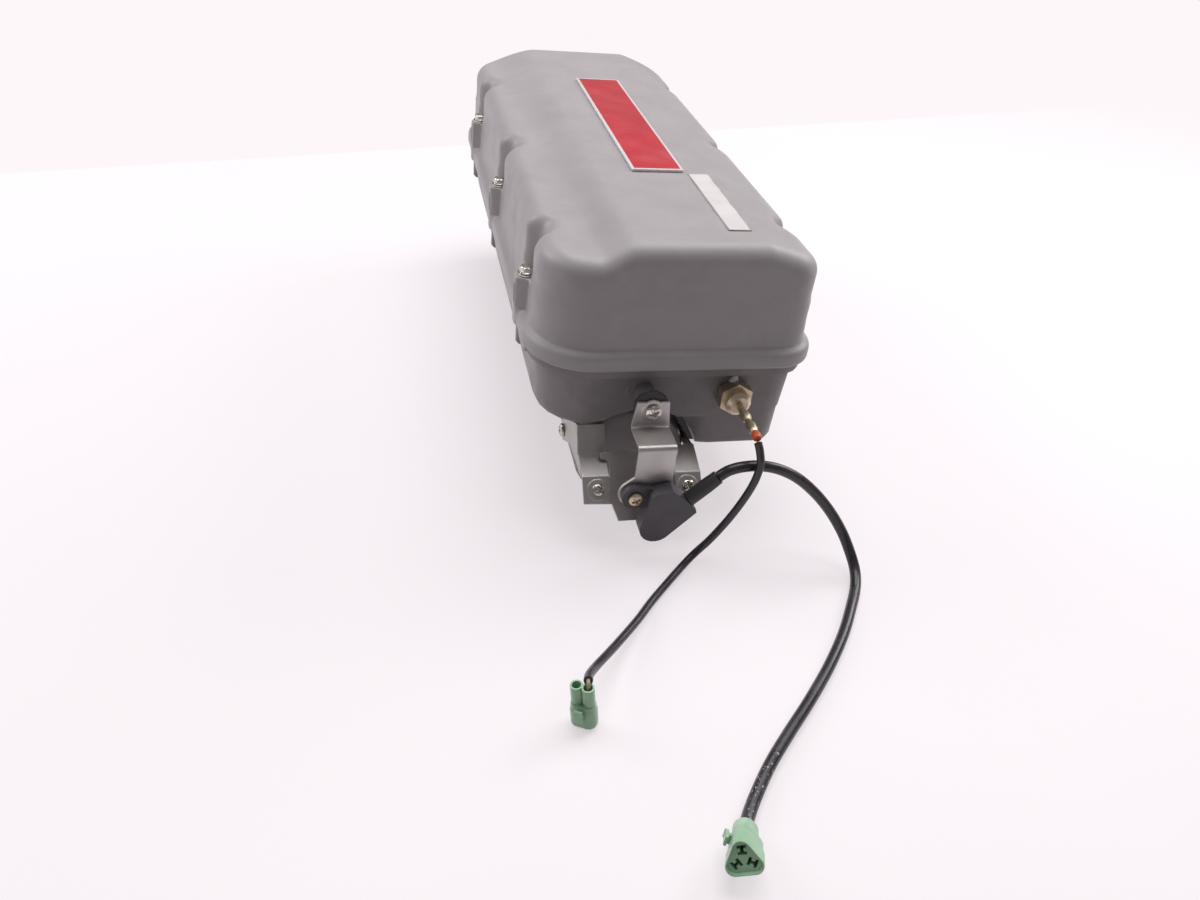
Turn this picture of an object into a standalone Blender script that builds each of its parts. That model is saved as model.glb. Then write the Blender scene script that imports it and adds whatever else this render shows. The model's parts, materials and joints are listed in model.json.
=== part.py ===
"""A moulded engine air case, as a set of separate pieces.

A long cover is held by side screws on a tray. The tray has a deep belly with outlet boots on its right and a
round inlet duct below its left. On the front end sit a position sensor on a strap bracket and a temperature
sender, each with its lead and sealed connector.

Units are metres, with +X to the right, +Y to the back and +Z up. The origin is on the floor, under the middle
of the case. Every piece hangs from an empty called datum, at the middle of the flange's front edge, on the
plane where cover and tray meet, so the places below are measured from there.
"""

import math

import bmesh
import bpy
import numpy as np
from mathutils import Matrix, Vector

# General
CLEARANCE = 0.0003
ROUND_SIDES = 16

# Cover and tray, seen from above
WIDTH = 0.200
LENGTH = 0.477
PARTING_HEIGHT = 0.125
FRONT_LEFT_CORNER = 0.045
FRONT_RIGHT_CORNER = 0.028
BACK_CORNER = 0.045
LEAST_CORNER = 0.006
CORNER_STEPS = 5
END_SHARES = (0.0, 0.14, 0.34, 0.83, 1.0)

# Cover
COVER_WALL = 0.003
PLATEAU_HEIGHT = 0.0834
PLATEAU_LEFT_INSET = 0.067
PLATEAU_RIGHT_INSET = 0.048
LEFT_SHOULDER_DROP = 0.011
LEFT_SHOULDER_RUN_FRONT = 0.025
LEFT_SHOULDER_RUN_BACK = 0.048
RIGHT_SHOULDER_DROP = 0.0095
RIGHT_SHOULDER_RUN = 0.033
TOP_EDGE_RADIUS = 0.013
WALL_FOOT_INSET = 0.0058
WALL_HEAD_INSET = 0.0074
FLANGE_HEIGHT = 0.0075
BEAD_HEIGHT = 0.0130
SEALING_FACE = 0.015

# Cover screws, their pockets and bosses. The first row is measured from the front and the last from the back
SCREW_FIRST = 0.071
SCREW_LAST = 0.091
SCREW_ROWS = 3
SCREW_INSET = 0.006
SEAT_HEIGHT = 0.035
POCKET_REACH = 0.0105
POCKET_HALF = 0.013
BOSS_REACH = 0.0075
BOSS_HALF = 0.0085
SCREW_RADIUS = 0.0025
SCREW_LENGTH = 0.055
SCREW_HEAD_ACROSS = 0.008
SCREW_HEAD_HEIGHT = 0.0045
WASHER_RADIUS = 0.006
WASHER_THICKNESS = 0.0012
SLOT_WIDTH = 0.0036
SLOT_FOOT = 0.0125
SLOT_HEAD = 0.0295

# Tabs that hang from the flange outside the tray's rim
TAB_FIRST = 0.050
TAB_LAST = 0.067
TAB_COUNT = 6
TAB_LENGTH = 0.028
TAB_DROP = 0.0070
TAB_END_DROP = 0.0010
TAB_INSET = 0.0014
TAB_THICKNESS = 0.0024

# Name plate, left bare. Its shift is from the middle of the plateau
PLATE_SHIFT = (-0.0010, 0.0095)
PLATE_WIDTH = 0.039
PLATE_LENGTH = 0.224
PLATE_THICKNESS = 0.0018
PLATE_CORNER = 0.0015

# Tray and belly
TRAY_WALL = 0.0036
BELLY_WALL = 0.0050
RIM_INSET = 0.0042
RIM_HEIGHT = 0.0075
TRAY_HEAD_INSET = 0.009
TRAY_FOOT_INSET = 0.011
TRAY_DEPTH = 0.048
TRAY_CORNER = 0.006
FRONT_STEP = 0.003
BELLY_DEPTH = 0.072
BELLY_CORNER = 0.005
BELLY_HEAD = -0.030
BELLY_LAP = 0.010
BELLY_REACH = 0.0505
CHANNEL_ROOM = 0.006
CHANNEL_SHIFT = (0.0020, 0.0005)
TRAY_BOSS_RADIUS = 0.005
TRAY_BOSS_DEPTH = 0.018
STRAP_BOSS_RADIUS = 0.007
STRAP_BOSS_DEPTH = 0.018
PAD_RADIUS = 0.0125
PAD_HEIGHT = 0.0012
INSERT_RADIUS = 0.0032
INSERT_LENGTH = 0.012

# Seal between cover and tray
SEAL_INSET = 0.0130
SEAL_WIDTH = 0.0032
SEAL_DEPTH = 0.0030

# Outlets in the belly
OUTLET_INSET = 0.0445
OUTLET_PITCH = 0.118
OUTLET_COUNT = 3
OUTLET_BORE = 0.021
SPIGOT_WALL = 0.003
SPIGOT_LENGTH = 0.026
BOOT_WALL = 0.0042
BOOT_FOOT_RADIUS = 0.0300
CLAMP_WIDTH = 0.009
CLAMP_THICKNESS = 0.001
CLAMP_LUG_RADIUS = 0.0034
CLAMP_LUG_LENGTH = 0.016
ARRESTER_HEIGHT = 0.038
ARRESTER_FOLDS = 12
ARRESTER_FOLD_DEPTH = 0.003
ARRESTER_SHEET = 0.0012

# Inlet duct below the tray, spaced from the line of outlets
DUCT_SPACING = 0.0745
DUCT_RADIUS = 0.0405
DUCT_WALL = 0.003
DUCT_FRONT = 0.0185
DUCT_BACK_INSET = 0.031
NECK_RADIUS = 0.0215
NECK_RISE = 0.0105
NECK_SEAL_WALL = 0.0034
NECK_SEAL_HEIGHT = 0.010
DUCT_BOSS_RADIUS = 0.007
DUCT_BOSS_LENGTH = 0.012

# Strap bracket on the tray's front, in line with the duct
SHEET = 0.002
BEND_RADIUS = 0.003
STRAP_WIDTH = 0.026
STRAP_TOP = -0.0145
STRAP_SHELF = -0.0345
STRAP_TAB_Y = -0.014
STRAP_LEG_Y = -0.038
STRAP_LEG_END = -0.0675
STRAP_SCREW_Z = -0.0206
STRAP_SCREW_RADIUS = 0.003
STRAP_SCREW_LENGTH = 0.036
STRAP_SCREW_HEAD = 0.0052
DAMPER_RADIUS = 0.012

# Sensor on the strap. Shifts and (x, z) places are from the strap's middle, at the height of the datum
SENSOR_BOLT_SHIFT = -0.0125
SENSOR_BOLT_Z = -0.0705
SENSOR_BOLT_RADIUS = 0.003
SENSOR_BOLT_LENGTH = 0.0125
SENSOR_BOLT_HEAD = 0.0048
NUT_ACROSS = 0.010
NUT_HEIGHT = 0.0042
EAR_RADIUS = 0.0105
SENSOR_EAR_RADIUS = 0.009
SENSOR_EAR_THICKNESS = 0.005
SENSOR_NOSE = (0.0032, -0.0927)
SENSOR_NOSE_RADIUS = 0.0115
SENSOR_CROWN = (0.0030, -0.0705)
SENSOR_CROWN_RADIUS = 0.008
SENSOR_SHOULDER = (0.0297, -0.0803)
SENSOR_BROW = (0.0110, -0.0612)
SENSOR_REACH = 0.051
GLAND_SEAT = (0.0243, -0.0727)
GLAND_FACE = 0.0124
SENSOR_GLAND_RADIUS = 0.0052
SENSOR_GLAND_LENGTH = 0.025

# Side brackets and saddle in front of the duct. Rises are from the duct's axis
SADDLE_SLOPE = math.radians(45)
SADDLE_Y = -0.020
SADDLE_RISE = 0.0025
SADDLE_SPAN = 0.032
SADDLE_LENGTH = 0.048
TAB_SCREW_RADIUS = 0.002
TAB_SCREW_LENGTH = 0.010
TAB_SCREW_HEAD = 0.0042
BRACKET_WIDTH = 0.017
BRACKET_TAB = 0.0185
BRACKET_SHELF = (0.018, 0.006)
BRACKET_LIP = (0.0040, 0.0015)
BRACKET_HEAD = (0.015, 0.033)
BRACKET_KNEE = (0.030, 0.0055)
BRACKET_END_RADIUS = 0.009
SIDE_BOLT_Y = 0.055
SIDE_BOLT_RADIUS = 0.003
SIDE_BOLT_LENGTH = 0.011
SIDE_BOLT_HEAD = 0.005
EMBOSS_RADIUS = 0.0078
EMBOSS_HEIGHT = 0.0007
EMBOSS_BEVEL = 0.0012

# Temperature sender in the tray's front
SENDER_INSET = 0.056
SENDER_Z = -0.0232
SENDER_PROBE_RADIUS = 0.0036
SENDER_PROBE_LENGTH = 0.026
SENDER_THREAD = 0.006
SENDER_THREAD_LENGTH = 0.013
SENDER_WASHER_RADIUS = 0.0095
SENDER_WASHER_THICKNESS = 0.0015
SENDER_HEX_ACROSS = 0.0215
SENDER_HEX_LENGTH = 0.0086
SENDER_COLLAR_RADIUS = 0.009
SENDER_COLLAR_LENGTH = 0.007
SENDER_STEM_RADIUS = 0.0026
SENDER_STEM_LENGTH = 0.0307
SENDER_SEAL_LENGTH = 0.0067

# Leads and connectors
SENSOR_LEAD_DIAMETER = 0.0075
SENDER_LEAD_DIAMETER = 0.0054
THREE_WAY_REAR = (-0.0163, -0.2559, -0.1190)
THREE_WAY_AXIS = (-0.393, -0.786, 0.480)
THREE_WAY_LENGTH = 0.031
THREE_WAY_RADIUS = 0.0105
THREE_WAY_LATCH_WIDTH = 0.005
TWO_WAY_FOOT = (-0.0858, -0.1752, -0.1239)
TWO_WAY_AXIS = (-0.13, 0.05, 0.99)
TWO_WAY_ACROSS = (0.85, -0.53, 0.0)
TWO_WAY_HEIGHT = 0.030
TWO_WAY_WIDTH = 0.0158
TWO_WAY_DEPTH = 0.0108
TWO_WAY_TUBE_RADIUS = 0.0037
TWO_WAY_TUBE_WALL = 0.001
TWO_WAY_LATCH_WIDTH = 0.0048
LATCH_THICKNESS = 0.0016
LATCH_GAP = 0.0016

# Worked out from the sizes above
HALF = WIDTH / 2
FRONT_Y = (SENSOR_REACH - LENGTH) / 2
PLATEAU_LEFT = PLATEAU_LEFT_INSET - HALF
PLATEAU_RIGHT = HALF - PLATEAU_RIGHT_INSET
SCREW_X = HALF - SCREW_INSET
SCREW_YS = np.linspace(SCREW_FIRST, LENGTH - SCREW_LAST, SCREW_ROWS)
SCREW_PLACES = [(side * SCREW_X, y) for side in (-1, 1) for y in SCREW_YS]
OUTLET_X = HALF - OUTLET_INSET
OUTLET_YS = [LENGTH / 2 + (i - (OUTLET_COUNT - 1) / 2) * OUTLET_PITCH for i in range(OUTLET_COUNT)]
BELLY_LEFT = OUTLET_X - BELLY_REACH
DUCT_X = OUTLET_X - DUCT_SPACING
DUCT_Z = DUCT_RADIUS - PARTING_HEIGHT
CHANNEL_X = DUCT_X + CHANNEL_SHIFT[0]
CHANNEL_Z = DUCT_Z + CHANNEL_SHIFT[1]
CHANNEL_RADIUS = DUCT_RADIUS + CHANNEL_ROOM
NECK_TOP = CHANNEL_Z + CHANNEL_RADIUS + NECK_RISE
STRAP_X = DUCT_X
SENSOR_BOLT_X = STRAP_X + SENSOR_BOLT_SHIFT
SADDLE_Z = DUCT_Z + SADDLE_RISE
SENDER_X = HALF - SENDER_INSET


# Scene and materials

for old in list(bpy.data.objects):
    bpy.data.objects.remove(old, do_unlink=True)

datum = bpy.data.objects.new("datum", None)
datum.location = (0, FRONT_Y, PARTING_HEIGHT)
bpy.context.scene.collection.objects.link(datum)


def material(name, colour, roughness, metallic=0.0):
    made = bpy.data.materials.new(name)
    made.use_nodes = True
    shader = made.node_tree.nodes["Principled BSDF"]
    shader.inputs["Base Color"].default_value = (*colour, 1)
    shader.inputs["Roughness"].default_value = roughness
    shader.inputs["Metallic"].default_value = metallic
    return made


GREY_PAINT = material("grey_paint", (0.36, 0.33, 0.34), 0.5)
TRAY_GREY = material("tray_grey", (0.22, 0.20, 0.20), 0.55)
RED_PLATE = material("red_plate", (0.65, 0.05, 0.06), 0.35)
BLACK_RUBBER = material("black_rubber", (0.03, 0.03, 0.032), 0.7)
BLACK_PLASTIC = material("black_plastic", (0.055, 0.05, 0.06), 0.5)
STAINLESS = material("stainless", (0.62, 0.60, 0.58), 0.3, 1.0)
BRASS = material("brass", (0.72, 0.53, 0.28), 0.32, 1.0)
GREEN_PLASTIC = material("green_plastic", (0.22, 0.48, 0.28), 0.45)
ORANGE_SEAL = material("orange_seal", (0.75, 0.13, 0.04), 0.5)
WIRE_MESH = material("wire_mesh", (0.5, 0.49, 0.47), 0.4, 1.0)


# Building blocks


def skin(loops, ends="capped"):
    """A closed body through loops of points. Its ends are capped, or the last loop is joined to the first."""
    body = bmesh.new()
    rings = [[body.verts.new(point) for point in loop] for loop in loops]
    pairs = list(zip(rings, rings[1:]))
    if ends == "joined":
        pairs.append((rings[-1], rings[0]))
    else:
        body.faces.new(rings[0])
        body.faces.new(rings[-1])
    walls = []
    for lower, upper in pairs:
        for i in range(len(lower)):
            j = (i + 1) % len(lower)
            walls.append(body.faces.new((lower[i], lower[j], upper[j], upper[i])))
    bmesh.ops.triangulate(body, faces=walls)
    bmesh.ops.recalc_face_normals(body, faces=body.faces)
    return body


def together(bodies):
    """Several bodies in one mesh, for a cutter that works in many places."""
    whole = bmesh.new()
    for body in bodies:
        mesh = bpy.data.meshes.new("piece")
        body.to_mesh(mesh)
        whole.from_mesh(mesh)
        body.free()
        bpy.data.meshes.remove(mesh)
    return whole


def placed(body, at=(0, 0, 0), axis=(0, 0, 1)):
    """The body with its own +Z turned along axis and its origin moved to a place."""
    turn = Vector((0, 0, 1)).rotation_difference(Vector(axis)).to_matrix().to_4x4()
    bmesh.ops.transform(body, matrix=Matrix.Translation(at) @ turn, verts=body.verts)
    return body


def circle(radius, height=0.0, sides=ROUND_SIDES):
    turn = 2 * np.pi * np.arange(sides) / sides
    return np.column_stack((radius * np.cos(turn), radius * np.sin(turn), np.full(sides, height)))


def hexagon(across, height, sides=12):
    """Points on a hexagon with a corner at the top when it stands upright."""
    turn = 2 * np.pi * np.arange(sides) / sides
    reach = across / 2 / np.cos((turn % (np.pi / 3)) - np.pi / 6)
    return np.column_stack((reach * np.cos(turn), reach * np.sin(turn), np.full(sides, height)))


def turned(profile, ends="capped", sides=ROUND_SIDES):
    """A body turned about its own Z axis from (radius, height) points."""
    return skin([circle(radius, height, sides) for radius, height in profile], ends)


def tube(inner, outer, low, high, sides=ROUND_SIDES):
    return turned([(inner, low), (outer, low), (outer, high), (inner, high)], "joined", sides)


def rod(radius, low, high, sides=ROUND_SIDES):
    return turned([(radius, low), (radius, high)], "capped", sides)


def prism(points, low, high):
    """A flat outline given a thickness along its own Z axis."""
    flat = np.array(points)
    return skin([np.column_stack((flat, np.full(len(flat), z))) for z in (low, high)])


def block(low, high):
    """A rectangular block between two corners."""
    (x0, y0, z0), (x1, y1, z1) = low, high
    return prism([(x0, y0), (x1, y0), (x1, y1), (x0, y1)], z0, z1)


def arc(centre, radius, start, stop, steps):
    turn = np.radians(np.linspace(start, stop, steps + 1))
    return np.column_stack((centre[0] + radius * np.cos(turn), centre[1] + radius * np.sin(turn)))


def smooth(low, high, value):
    share = np.clip((value - low) / (high - low), 0, 1)
    return share * share * (3 - 2 * share)


def piece(name, body, look, at=(0, 0, 0), turn=None):
    """A finished piece, hung from the datum."""
    mesh = bpy.data.meshes.new(name)
    body.to_mesh(mesh)
    body.free()
    made = bpy.data.objects.new(name, mesh)
    made.parent = datum
    made.location = at
    if turn is not None:
        made.rotation_euler = turn.to_euler()
    bpy.context.scene.collection.objects.link(made)
    if look is not None:
        mesh.materials.append(look)
    mesh.shade_smooth()
    mesh.set_sharp_from_angle(angle=math.radians(35))
    return made


def cutter(name, body, at=(0, 0, 0), turn=None):
    made = piece(name, body, None, at, turn)
    made.hide_render = True
    made.display_type = "WIRE"
    return made


def combine(target, operation, other):
    step = target.modifiers.new(other.name, "BOOLEAN")
    step.operation = operation
    step.object = other


# Outlines of the cover and the tray


def side_stations():
    """Places along the long sides that follow the pockets and bosses, from front to back."""
    steps = np.array((-1.40, -0.92, -0.60, -0.30, 0.30, 0.60, 0.92, 1.40)) * POCKET_HALF
    return np.concatenate([y + steps for y in SCREW_YS])


STATIONS = side_stations()
OFF_SCREW = np.min(np.abs(STATIONS[:, None] - SCREW_YS[None, :]), axis=1)
POCKET_SHARE = 1 - smooth(0.35 * POCKET_HALF, 1.40 * POCKET_HALF, OFF_SCREW)
BOSS_SHARE = 1 - smooth(0.45 * BOSS_HALF, 1.15 * BOSS_HALF, OFF_SCREW)
SEAT_SHARE = 1 - smooth(0.70 * POCKET_HALF, 1.38 * POCKET_HALF, OFF_SCREW)


def corners(inset):
    radii = (FRONT_LEFT_CORNER, FRONT_RIGHT_CORNER, BACK_CORNER, BACK_CORNER)
    return [max(radius - inset, LEAST_CORNER) for radius in radii]


def outline(left, right, front, back, radii, stations=(), swell=0.0, step=0.0):
    """A rounded rectangle, anticlockwise from the front left.

    The long sides have a point at each station, moved out by swell there. The front-left corner may stand
    forward of the rest of the front by a step.
    """
    front_left, front_right, back_right, back_left = radii
    shares = np.array(END_SHARES)
    quarter = np.linspace(0, np.pi / 2, CORNER_STEPS + 1)[1:-1]

    def corner(x, y, radius, start, reach=0.0):
        turn = start + quarter
        return np.column_stack((x + radius * np.cos(turn), y + (radius + reach) * np.sin(turn)))

    front_x = left + front_left + shares * (right - front_right - left - front_left)
    front_y = np.full(len(shares), front)
    front_y[0] -= step
    back_x = right - back_right + shares * (left + back_left - right + back_right)
    right_y = np.concatenate(([front + front_right], stations, [back - back_right]))
    left_y = np.concatenate(([back - back_left], stations[::-1], [front + front_left]))
    out = np.zeros(len(stations) + 2)
    if len(stations):
        out[1:-1] = swell
    rows = (
        np.column_stack((front_x, front_y)),
        corner(right - front_right, front + front_right, front_right, -np.pi / 2),
        np.column_stack((right + out, right_y)),
        corner(right - back_right, back - back_right, back_right, 0),
        np.column_stack((back_x, np.full(len(shares), back))),
        corner(left + back_left, back - back_left, back_left, np.pi / 2),
        np.column_stack((left - out[::-1], left_y)),
        corner(left + front_left, front + front_left, front_left, np.pi, step),
    )
    return np.concatenate(rows)


def level(inset, height, stations=(), swell=0.0, step=0.0, seat=0.0):
    """A loop set in from the flange's edge, at one height or at a height worked out from x and y.

    seat moves the stations away from the screws up or down, so that the seat itself stays flat.
    """
    flat = outline(
        inset - HALF, HALF - inset, inset, LENGTH - inset, corners(inset), stations, swell, step
    )
    heights = height(flat[:, 0], flat[:, 1]) if callable(height) else np.full(len(flat), height)
    if seat:
        away = seat * (1 - SEAT_SHARE)
        first = len(END_SHARES) + CORNER_STEPS
        heights[first : first + len(STATIONS)] += away
        last = len(flat) - CORNER_STEPS - len(STATIONS)
        heights[last : last + len(STATIONS)] += away[::-1]
    return np.column_stack((flat, heights))


# Cover


def top_height(x, y):
    """Height of the top: a plateau, a left shoulder that widens to the back and a flat right slope."""
    widen = np.clip(y / LENGTH, 0, 1) * (LEFT_SHOULDER_RUN_BACK - LEFT_SHOULDER_RUN_FRONT)
    left = smooth(0, LEFT_SHOULDER_RUN_FRONT + widen, PLATEAU_LEFT - x)
    right = np.clip((x - PLATEAU_RIGHT) / RIGHT_SHOULDER_RUN, 0, 1)
    return PLATEAU_HEIGHT - np.maximum(LEFT_SHOULDER_DROP * left, RIGHT_SHOULDER_DROP * right)


def top_loop(share, drop):
    """A loop on the top, from the plateau's edge at 0 to the rim of the rounded edge at 1."""
    rim = WALL_HEAD_INSET + TOP_EDGE_RADIUS
    left = PLATEAU_LEFT + share * (rim - HALF - PLATEAU_LEFT)
    right = PLATEAU_RIGHT + share * (HALF - rim - PLATEAU_RIGHT)
    margin = rim + (1 - share) * LEAST_CORNER
    radii = [LEAST_CORNER + share * (radius - LEAST_CORNER) for radius in corners(rim)]
    flat = outline(left, right, margin, LENGTH - margin, radii, STATIONS)
    return np.column_stack((flat, top_height(flat[:, 0], flat[:, 1]) - drop))


def wall_swell(inset, bosses):
    """How far the wall moves out at the bosses, or in at the pockets above them."""
    if bosses:
        return (SCREW_X + BOSS_REACH - HALF + inset) * BOSS_SHARE
    return -(HALF - inset - SCREW_X + POCKET_REACH) * POCKET_SHARE


def outer_levels():
    """The cover's outer skin, from the flange's foot up to the plateau."""
    flange = (
        (0.0008, 0.0),
        (0.0, 0.0008),
        (0.0, FLANGE_HEIGHT),
        (0.0012, FLANGE_HEIGHT + 0.6 * (BEAD_HEIGHT - FLANGE_HEIGHT)),
        (0.7 * WALL_FOOT_INSET, FLANGE_HEIGHT + 0.85 * (BEAD_HEIGHT - FLANGE_HEIGHT)),
        (0.93 * WALL_FOOT_INSET, BEAD_HEIGHT),
        (WALL_FOOT_INSET, BEAD_HEIGHT + 0.003),
    )
    loops = [level(inset, z, STATIONS, wall_swell(inset, True)) for inset, z in flange]
    middle = (WALL_FOOT_INSET + WALL_HEAD_INSET) / 2
    loops.append(level(middle, SEAT_HEIGHT, STATIONS, wall_swell(middle, True), seat=-0.002))
    loops.append(level(middle, SEAT_HEIGHT, STATIONS, wall_swell(middle, False), seat=0.002))
    pocket = wall_swell(WALL_HEAD_INSET, False)
    for turn in np.radians((0, 30, 60, 90)):
        inset = WALL_HEAD_INSET + TOP_EDGE_RADIUS * (1 - np.cos(turn))
        fall = TOP_EDGE_RADIUS * (1 - np.sin(turn))
        loops.append(level(inset, lambda x, y, fall=fall: top_height(x, y) - fall, STATIONS, pocket))
    return loops + [top_loop(share, 0.0) for share in (0.55, 0.25, 0.0)]


def inner_levels():
    """The cover's inner skin, from under the plateau down to the sealing face."""
    loops = [top_loop(share, COVER_WALL) for share in (0.0, 0.25, 0.55)]
    radius = TOP_EDGE_RADIUS - COVER_WALL
    centre = WALL_HEAD_INSET + TOP_EDGE_RADIUS
    pocket = wall_swell(WALL_HEAD_INSET, False)
    for turn in np.radians((90, 45, 0)):
        fall = TOP_EDGE_RADIUS - radius * np.sin(turn)
        inset = centre - radius * np.cos(turn)
        loops.append(level(inset, lambda x, y, fall=fall: top_height(x, y) - fall, STATIONS, pocket))
    column = SCREW_X - POCKET_REACH - COVER_WALL
    for inset, z in (
        (WALL_FOOT_INSET + COVER_WALL, BEAD_HEIGHT),
        (SEALING_FACE, FLANGE_HEIGHT),
        (SEALING_FACE, 0.0),
    ):
        loops.append(level(inset, z, STATIONS, -(HALF - inset - column) * POCKET_SHARE))
    return loops


def cover_tabs():
    """Tabs with rounded ends that hang below the flange and follow its edge outside the tray's rim."""
    bodies = []
    shares = np.array((-1.0, -0.92, -0.65, 0.0, 0.65, 0.92, 1.0))
    for side, corner in ((-1, FRONT_LEFT_CORNER), (1, FRONT_RIGHT_CORNER)):
        for middle in np.linspace(TAB_FIRST, LENGTH - TAB_LAST, TAB_COUNT):
            loops = []
            for share in shares:
                y = middle + share * TAB_LENGTH / 2
                short = max(corner - y, 0.0)
                edge = HALF - corner + math.sqrt(corner**2 - short**2)
                outer, inner = edge - TAB_INSET, edge - TAB_INSET - TAB_THICKNESS
                foot = -TAB_END_DROP - (TAB_DROP - TAB_END_DROP) * math.sqrt(1 - abs(share) ** 6)
                top = 0.73 * FLANGE_HEIGHT
                corner_points = ((inner, foot), (outer - 0.3 * TAB_THICKNESS, foot), (outer, top), (inner, top))
                loops.append([(side * x, y, z) for x, z in corner_points])
            bodies.append(skin(loops))
    return together(bodies)


def make_cover():
    cover = piece("cover", skin(inner_levels() + outer_levels()), GREY_PAINT)
    combine(cover, "UNION", cutter("cover_tab_shapes", cover_tabs()))
    holes = []
    for x, y in SCREW_PLACES:
        out = math.copysign(1, x)
        holes.append(placed(rod(SCREW_RADIUS + 0.0005, -0.002, SEAT_HEIGHT + 0.002, 12), (x, y, 0)))
        sides = sorted((x, x + out * 0.02))
        low = (sides[0], y - SLOT_WIDTH / 2, SLOT_FOOT)
        high = (sides[1], y + SLOT_WIDTH / 2, SLOT_HEAD)
        holes.append(block(low, high))
    for i, hole in enumerate(holes):
        combine(cover, "DIFFERENCE", cutter(f"cover_hole_{i}", hole))


def make_cover_screws():
    """Hexagon screws with washers, in the cover's pockets."""
    head = SEAT_HEIGHT + 2 * CLEARANCE + WASHER_THICKNESS
    for i, (x, y) in enumerate(SCREW_PLACES, 1):
        low = SEAT_HEIGHT + CLEARANCE
        washer = tube(SCREW_RADIUS + CLEARANCE, WASHER_RADIUS, low, low + WASHER_THICKNESS, 12)
        piece(f"cover_washer_{i}", washer, STAINLESS, (x, y, 0))
        top = head + SCREW_HEAD_HEIGHT
        screw = skin(
            [
                circle(0.7 * SCREW_RADIUS, head - SCREW_LENGTH, 12),
                circle(SCREW_RADIUS, head - SCREW_LENGTH + 0.001, 12),
                circle(SCREW_RADIUS, head, 12),
                circle(0.62 * SCREW_HEAD_ACROSS, head, 12),
                circle(0.62 * SCREW_HEAD_ACROSS, head + 0.0008, 12),
                hexagon(SCREW_HEAD_ACROSS, head + 0.0012),
                hexagon(SCREW_HEAD_ACROSS, top - 0.0005),
                circle(0.46 * SCREW_HEAD_ACROSS, top, 12),
            ]
        )
        piece(f"cover_screw_{i}", screw, STAINLESS, (x, y, 0))


def make_name_plate():
    """A bare plate on the plateau."""
    low = PLATEAU_HEIGHT + CLEARANCE
    half_x, half_y = PLATE_WIDTH / 2, PLATE_LENGTH / 2
    radius = PLATE_CORNER
    centres = ((half_x, -half_y, 270), (half_x, half_y, 0), (-half_x, half_y, 90), (-half_x, -half_y, 180))
    edge = np.concatenate(
        [
            arc((x - math.copysign(radius, x), y - math.copysign(radius, y)), radius, start, start + 90, 2)
            for x, y, start in centres
        ]
    )
    plate = prism(edge, low, low + PLATE_THICKNESS)
    middle = (PLATEAU_LEFT + PLATEAU_RIGHT) / 2
    piece("name_plate", plate, RED_PLATE, (middle + PLATE_SHIFT[0], LENGTH / 2 + PLATE_SHIFT[1], 0))


# Tray


def tray_solid():
    """The tray's outside, without its belly."""
    loops = [
        level(RIM_INSET, -CLEARANCE),
        level(RIM_INSET, -RIM_HEIGHT),
        level(TRAY_HEAD_INSET, -RIM_HEIGHT - 0.002, step=FRONT_STEP),
        level(TRAY_FOOT_INSET, TRAY_CORNER - TRAY_DEPTH, step=FRONT_STEP),
        level(TRAY_FOOT_INSET + 0.3 * TRAY_CORNER, 0.3 * TRAY_CORNER - TRAY_DEPTH, step=FRONT_STEP),
        level(TRAY_FOOT_INSET + TRAY_CORNER, -TRAY_DEPTH, step=FRONT_STEP),
    ]
    return skin(loops)


def tray_hollow():
    foot = TRAY_FOOT_INSET + TRAY_WALL
    loops = [
        level(RIM_INSET + 0.013, 0.004),
        level(RIM_INSET + 0.013, -RIM_HEIGHT - 0.001),
        level(TRAY_HEAD_INSET + TRAY_WALL, -RIM_HEIGHT - 0.005),
        level(foot, TRAY_CORNER - TRAY_DEPTH),
        level(foot + TRAY_CORNER - TRAY_WALL / 2, TRAY_WALL - TRAY_DEPTH),
    ]
    return skin(loops)


def belly_loops(grow, foot, top, tighter=0.0):
    """Loops of the belly, set in by grow from its outside, with corners tighter than the tray's."""
    inset = TRAY_FOOT_INSET + 0.0003 + grow

    def loop(more, z):
        at = inset + more
        flat = outline(BELLY_LEFT, HALF - at, at, LENGTH - at, corners(at + tighter))
        return np.column_stack((flat, np.full(len(flat), z)))

    return [
        loop(0.0, top),
        loop(0.0010, BELLY_CORNER + foot),
        loop(0.0010 + 0.3 * BELLY_CORNER, 0.3 * BELLY_CORNER + foot),
        loop(0.0010 + BELLY_CORNER, foot),
    ]


def lengthways_rod(radius):
    """A rod along the whole case, for the channel that the duct lies in."""
    long = rod(radius, -0.1 * LENGTH, 1.1 * LENGTH, 32)
    return placed(long, (CHANNEL_X, 0, CHANNEL_Z), (0, 1, 0))


def tray_bosses():
    """Bosses for the screw inserts, with rounded feet, and the spigots under the belly."""
    bodies = []
    boss_profile = [
        (0.7 * TRAY_BOSS_RADIUS, -TRAY_BOSS_DEPTH),
        (TRAY_BOSS_RADIUS, 0.002 - TRAY_BOSS_DEPTH),
        (TRAY_BOSS_RADIUS, -2 * CLEARANCE),
    ]
    for x, y in SCREW_PLACES:
        bodies.append(placed(turned(boss_profile, sides=12), (x, y, 0)))
    low, high = -BELLY_DEPTH - SPIGOT_LENGTH, 0.5 * TRAY_WALL - BELLY_DEPTH
    for y in OUTLET_YS:
        bodies.append(placed(rod(OUTLET_BORE + SPIGOT_WALL, low, high, 24), (OUTLET_X, y, 0)))
    return together(bodies)


def seal_ring(grow, low, high):
    """The seal's closed ring, or with some grow the groove it lies in."""
    inner, outer = SEAL_INSET + SEAL_WIDTH / 2 + grow, SEAL_INSET - SEAL_WIDTH / 2 - grow
    return skin([level(inner, low), level(outer, low), level(outer, high), level(inner, high)], "joined")


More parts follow.
